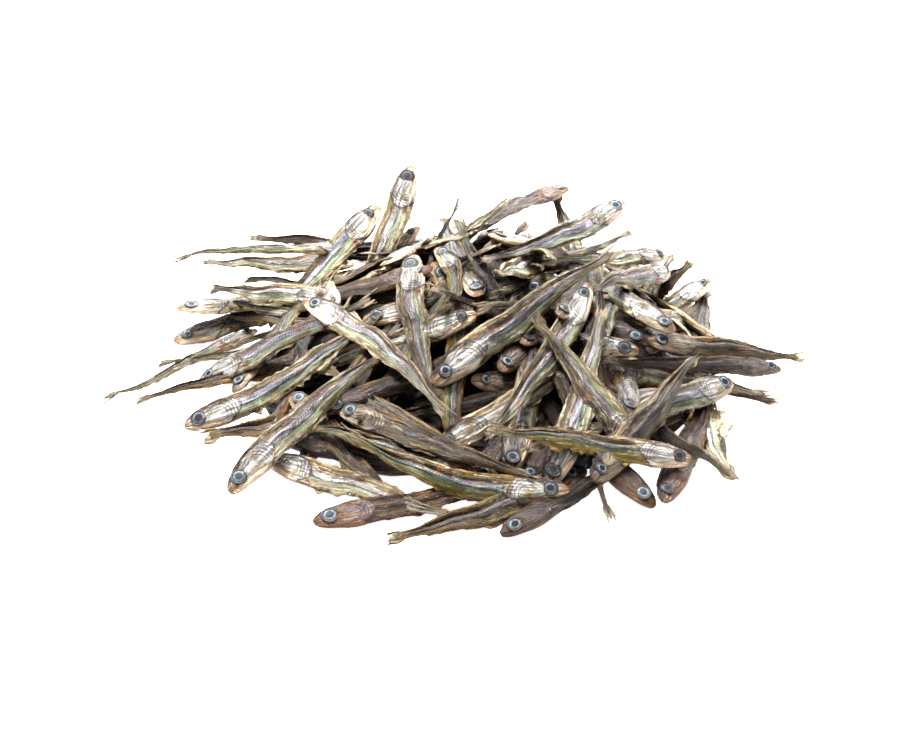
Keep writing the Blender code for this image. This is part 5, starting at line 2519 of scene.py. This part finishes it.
@dataclass
class Core:
    """The tangle in the middle of the heap, which shows in gaps, and low down from behind, in
    painted shade.
    """

    name: str = "heap_core"
    sides: int = 64
    rings: int = 12
    unevenness: float = 0.0022
    inset: float = 0.90
    waves: int = 10
    wave_rate: float = 260.0
    wave_calm: float = 6.0
    base_height: float = 0.001
    least_height: float = 0.0006
    seed: int = 4

    def build(self) -> Thing:
        """Draws a ring up and in to the top, closes it, and roughens it.

        Returns:
            The piece.
        """
        start_fresh()
        radius_x = HEAP.radius_x * HEAP.core_share * self.inset
        radius_y = HEAP.radius_y * HEAP.core_share * self.inset
        middle = (HEAP.centre_x, HEAP.centre_y, 0.0)
        bpy.ops.mesh.primitive_circle_add(
            vertices=self.sides, radius=1.0, fill_type="NGON", location=middle
        )
        obj = bpy.context.object
        obj.name = self.name
        obj.data.name = self.name
        obj.scale = (radius_x, radius_y, 1.0)
        bpy.ops.object.transform_apply(location=True, rotation=True, scale=True)
        bpy.ops.object.mode_set(mode="EDIT")
        bpy.ops.mesh.select_all(action="SELECT")
        height = 0.0
        for ring in range(1, self.rings):
            reach = 1.0 - ring / self.rings
            place = (HEAP.centre_x + radius_x * reach, HEAP.centre_y)
            rise = float(HEAP.core(*place)) * self.inset - height
            height += rise
            bpy.ops.mesh.extrude_region_move(TRANSFORM_OT_translate={"value": (0.0, 0.0, rise)})
            share = reach / (reach + 1.0 / self.rings)
            bpy.ops.transform.resize(
                value=(share, share, 1.0), center_override=(middle[0], middle[1], height)
            )
        face_outwards()
        finish_modifier(obj, "SUBSURF", levels=1, render_levels=1, subdivision_type="SIMPLE")
        self.roughen(obj)
        obj.data.materials.append(CORE_TANGLE.make())
        obj.data.shade_smooth()
        return obj

    def roughen(self, obj: Thing) -> None:
        """Sinks hollows into the upper side, and leaves the flat base alone.

        Args:
            obj: The core.
        """
        places = points_of(obj)
        rng = np.random.default_rng(self.seed)
        sunk = np.zeros(len(places))
        for _ in range(self.waves):
            wave = rng.normal(size=3) * self.wave_rate
            sunk += np.sin(places @ wave + rng.uniform(0.0, 2.0 * math.pi))
        sunk = self.unevenness * np.clip(0.5 + sunk / self.wave_calm, 0.0, 1.0)
        above = places[:, 2] > self.base_height
        places[above, 2] = np.maximum(places[above, 2] - sunk[above], self.least_height)
        move_points(obj, places)


@dataclass
class Heap:
    """All the fish of the heap, laid from the core outwards, and the core itself."""

    under: UnderLayer = field(default_factory=UnderLayer)
    wrap: Wrap = field(default_factory=Wrap)
    fill: FillLayer = field(default_factory=FillLayer)
    under_looks: tuple[Look, ...] = (OLIVE, TAN, SILVER, DARK)
    # Fish underneath at the back take paler looks: partly their own colour, partly painted light
    # for the brighter far side.
    back_looks: tuple[Look, ...] = (PALE, SILVER, PALE, TAN)
    back_from: float = 0.012
    most_in_piece: int = 24

    def lay(self) -> tuple[list[Laid], list[tuple[Seen, Laid]]]:
        """Lays the fish underneath, those that show, and then those that only fill gaps.

        Returns:
            The fish underneath, and those that show with the way each shows.
        """
        ground = Ground()
        under = self.under.lay(ground)
        low_ground = copy.deepcopy(ground)
        sightings = Sightings()
        for fish in under:
            sightings.add(fish)
        low_sightings = copy.deepcopy(sightings)
        seen = []
        for place in sorted(SEEN_FISH, key=lambda fish: fish.layer):
            fish = RESTING.seen(place, ground, sightings)
            ground.add(fish)
            sightings.add(fish)
            seen.append((place, fish))
        seen += [(place, RESTING.seen(place, low_ground, low_sightings)) for place in GAP_FISH]
        filling = self.fill.lay(low_ground)
        under += self.under.lay_far_side(low_ground)
        LOG.info("%d fish show, %d lie under them", len(seen), len(under + filling))
        return under + filling, seen

    def shoals(self) -> list[Shoal]:
        """Sorts the fish by colour.

        Returns:
            One shoal for each look of the fish that show, and one for those underneath.
        """
        under, seen = self.lay()
        found = []
        for look in Look:
            own = [
                (index, fish, place.build)
                for index, (place, fish) in enumerate(seen)
                if place.look is look
            ]
            found += self.split(f"{look.value}_anchovies", SKINS[look], own)
        below: dict[Look, list[tuple[int, Laid, Build]]] = {}
        for k, fish in enumerate(under):
            at_back = (fish.nose[1] + fish.tail[1]) / 2 > self.back_from
            looks = self.back_looks if at_back else self.under_looks
            own = (len(seen) + k, fish, BURIED)
            below.setdefault(looks[k % len(looks)], []).append(own)
        for look, fish in below.items():
            found += self.split(f"{look.value}_anchovies_underneath", SKINS[look], fish)
        return found

    def split(
        self, name: str, finish: SkinFinish, fish: list[tuple[int, Laid, Build]]
    ) -> list[Shoal]:
        """Fish of one colour in as many pieces as it takes.

        Args:
            name: The pieces' name.
            finish: Their skin.
            fish: The fish.

        Returns:
            The shoals.
        """
        count = math.ceil(len(fish) / self.most_in_piece)
        groups = [fish[n::count] for n in range(count)]
        names = [name] if count == 1 else [f"{name}_{n + 1}" for n in range(count)]
        return [Shoal(named, finish, group) for named, group in zip(names, groups)]

    def build(self) -> list[Thing]:
        """Models the fish, copies them to their places and adds the core.

        Returns:
            The heap's pieces.
        """
        shapes = {model.build: model.shape() for model in MODELS}
        eyes = [finish.make() for finish in (IRIS, PUPIL, RIM, FIN)]
        pieces = [Core().build()]
        for shoal in self.shoals():
            pieces.append(shoal.build(shapes, self.wrap, eyes))
        for piece in pieces:
            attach(piece, BODY)
            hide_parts(NODE)
            LOG.info("%s: %d faces", piece.name, len(piece.data.polygons))
        return pieces


@dataclass(frozen=True)
class StudioLight:
    """A large soft lamp: where it stands, how large it is and how bright."""

    name: str
    place: Triple
    size: float
    power: float
    aim: Triple = (0.0, 0.0, 0.02)

    def build(self) -> Thing:
        """Hangs the lamp, looking at the heap.

        Returns:
            The lamp.
        """
        lamp = bpy.data.lights.new(self.name, "AREA")
        lamp.shape = "DISK"
        lamp.size = self.size
        lamp.energy = self.power
        obj = bpy.data.objects.new(self.name, lamp)
        obj.location = self.place
        toward = Vector(self.aim) - Vector(self.place)
        obj.rotation_euler = toward.to_track_quat("-Z", "Y").to_euler()
        bpy.context.scene.collection.objects.link(obj)
        return obj


@dataclass
class Studio:
    """A pale floor, soft lamps and the camera where the photograph was taken from."""

    floor_size: float = 6.0
    floor_drop: float = 0.0001
    whiteness: float = 0.95
    glow: float = 0.95
    dullness: float = 0.9
    shine: float = 0.1
    picture_width_px: float = 912.0
    sensor_mm: float = 36.0
    clipping: Pair = (0.01, 20.0)
    surround: float = 0.10
    lights: tuple[StudioLight, ...] = (
        StudioLight("top_light", (-0.05, 0.20, 0.92), 0.45, 13.0),
        StudioLight("key_light", (-0.30, 0.36, 0.77), 0.10, 26.0),
        StudioLight("back_light", (0.10, 0.52, 0.36), 0.20, 9.0),
        StudioLight("front_fill", (0.50, -0.80, 0.50), 0.50, 1.0),
    )

    def floor(self) -> None:
        """Lays the pale floor."""
        start_fresh()
        low = (0.0, 0.0, -self.floor_drop)
        bpy.ops.mesh.primitive_plane_add(size=self.floor_size, location=low)
        plane = bpy.context.object
        plane.name = "floor"
        recipe = Recipe("pale_floor")
        white = (self.whiteness, self.whiteness, self.whiteness, 1.0)
        paint = recipe.finished(
            {
                "Base Color": white,
                "Emission Color": WHITE,
                "Emission Strength": self.glow,
                "Roughness": self.dullness,
                "Specular IOR Level": self.shine,
            }
        )
        plane.data.materials.append(paint)

    def camera(self) -> None:
        """Sets the camera at the eye that the fish were laid from."""
        eye, ahead, _, _ = SIGHT.axes()
        data = bpy.data.cameras.new("camera")
        data.sensor_width = self.sensor_mm
        data.lens = SIGHT.focal_px * self.sensor_mm / self.picture_width_px
        data.clip_start, data.clip_end = self.clipping
        obj = bpy.data.objects.new("camera", data)
        obj.location = eye
        obj.rotation_euler = Vector(ahead).to_track_quat("-Z", "Y").to_euler()
        bpy.context.scene.collection.objects.link(obj)
        bpy.context.scene.camera = obj

    def build(self) -> None:
        """Sets up the floor, the light and the camera."""
        scene = bpy.context.scene
        scene.view_settings.view_transform = "Standard"
        world = bpy.data.worlds.new("white_room")
        world.use_nodes = True
        back = world.node_tree.nodes["Background"]
        back.inputs["Color"].default_value = WHITE
        back.inputs["Strength"].default_value = self.surround
        scene.world = world
        self.floor()
        for light in self.lights:
            light.build()
        self.camera()


def main() -> None:
    """Builds the heap and the studio round it."""
    logging.basicConfig(level=logging.INFO, format="%(name)s: %(message)s")
    Heap().build()
    Studio().build()
    LOG.info("the heap is ready")


if __name__ == "__main__":
    main()
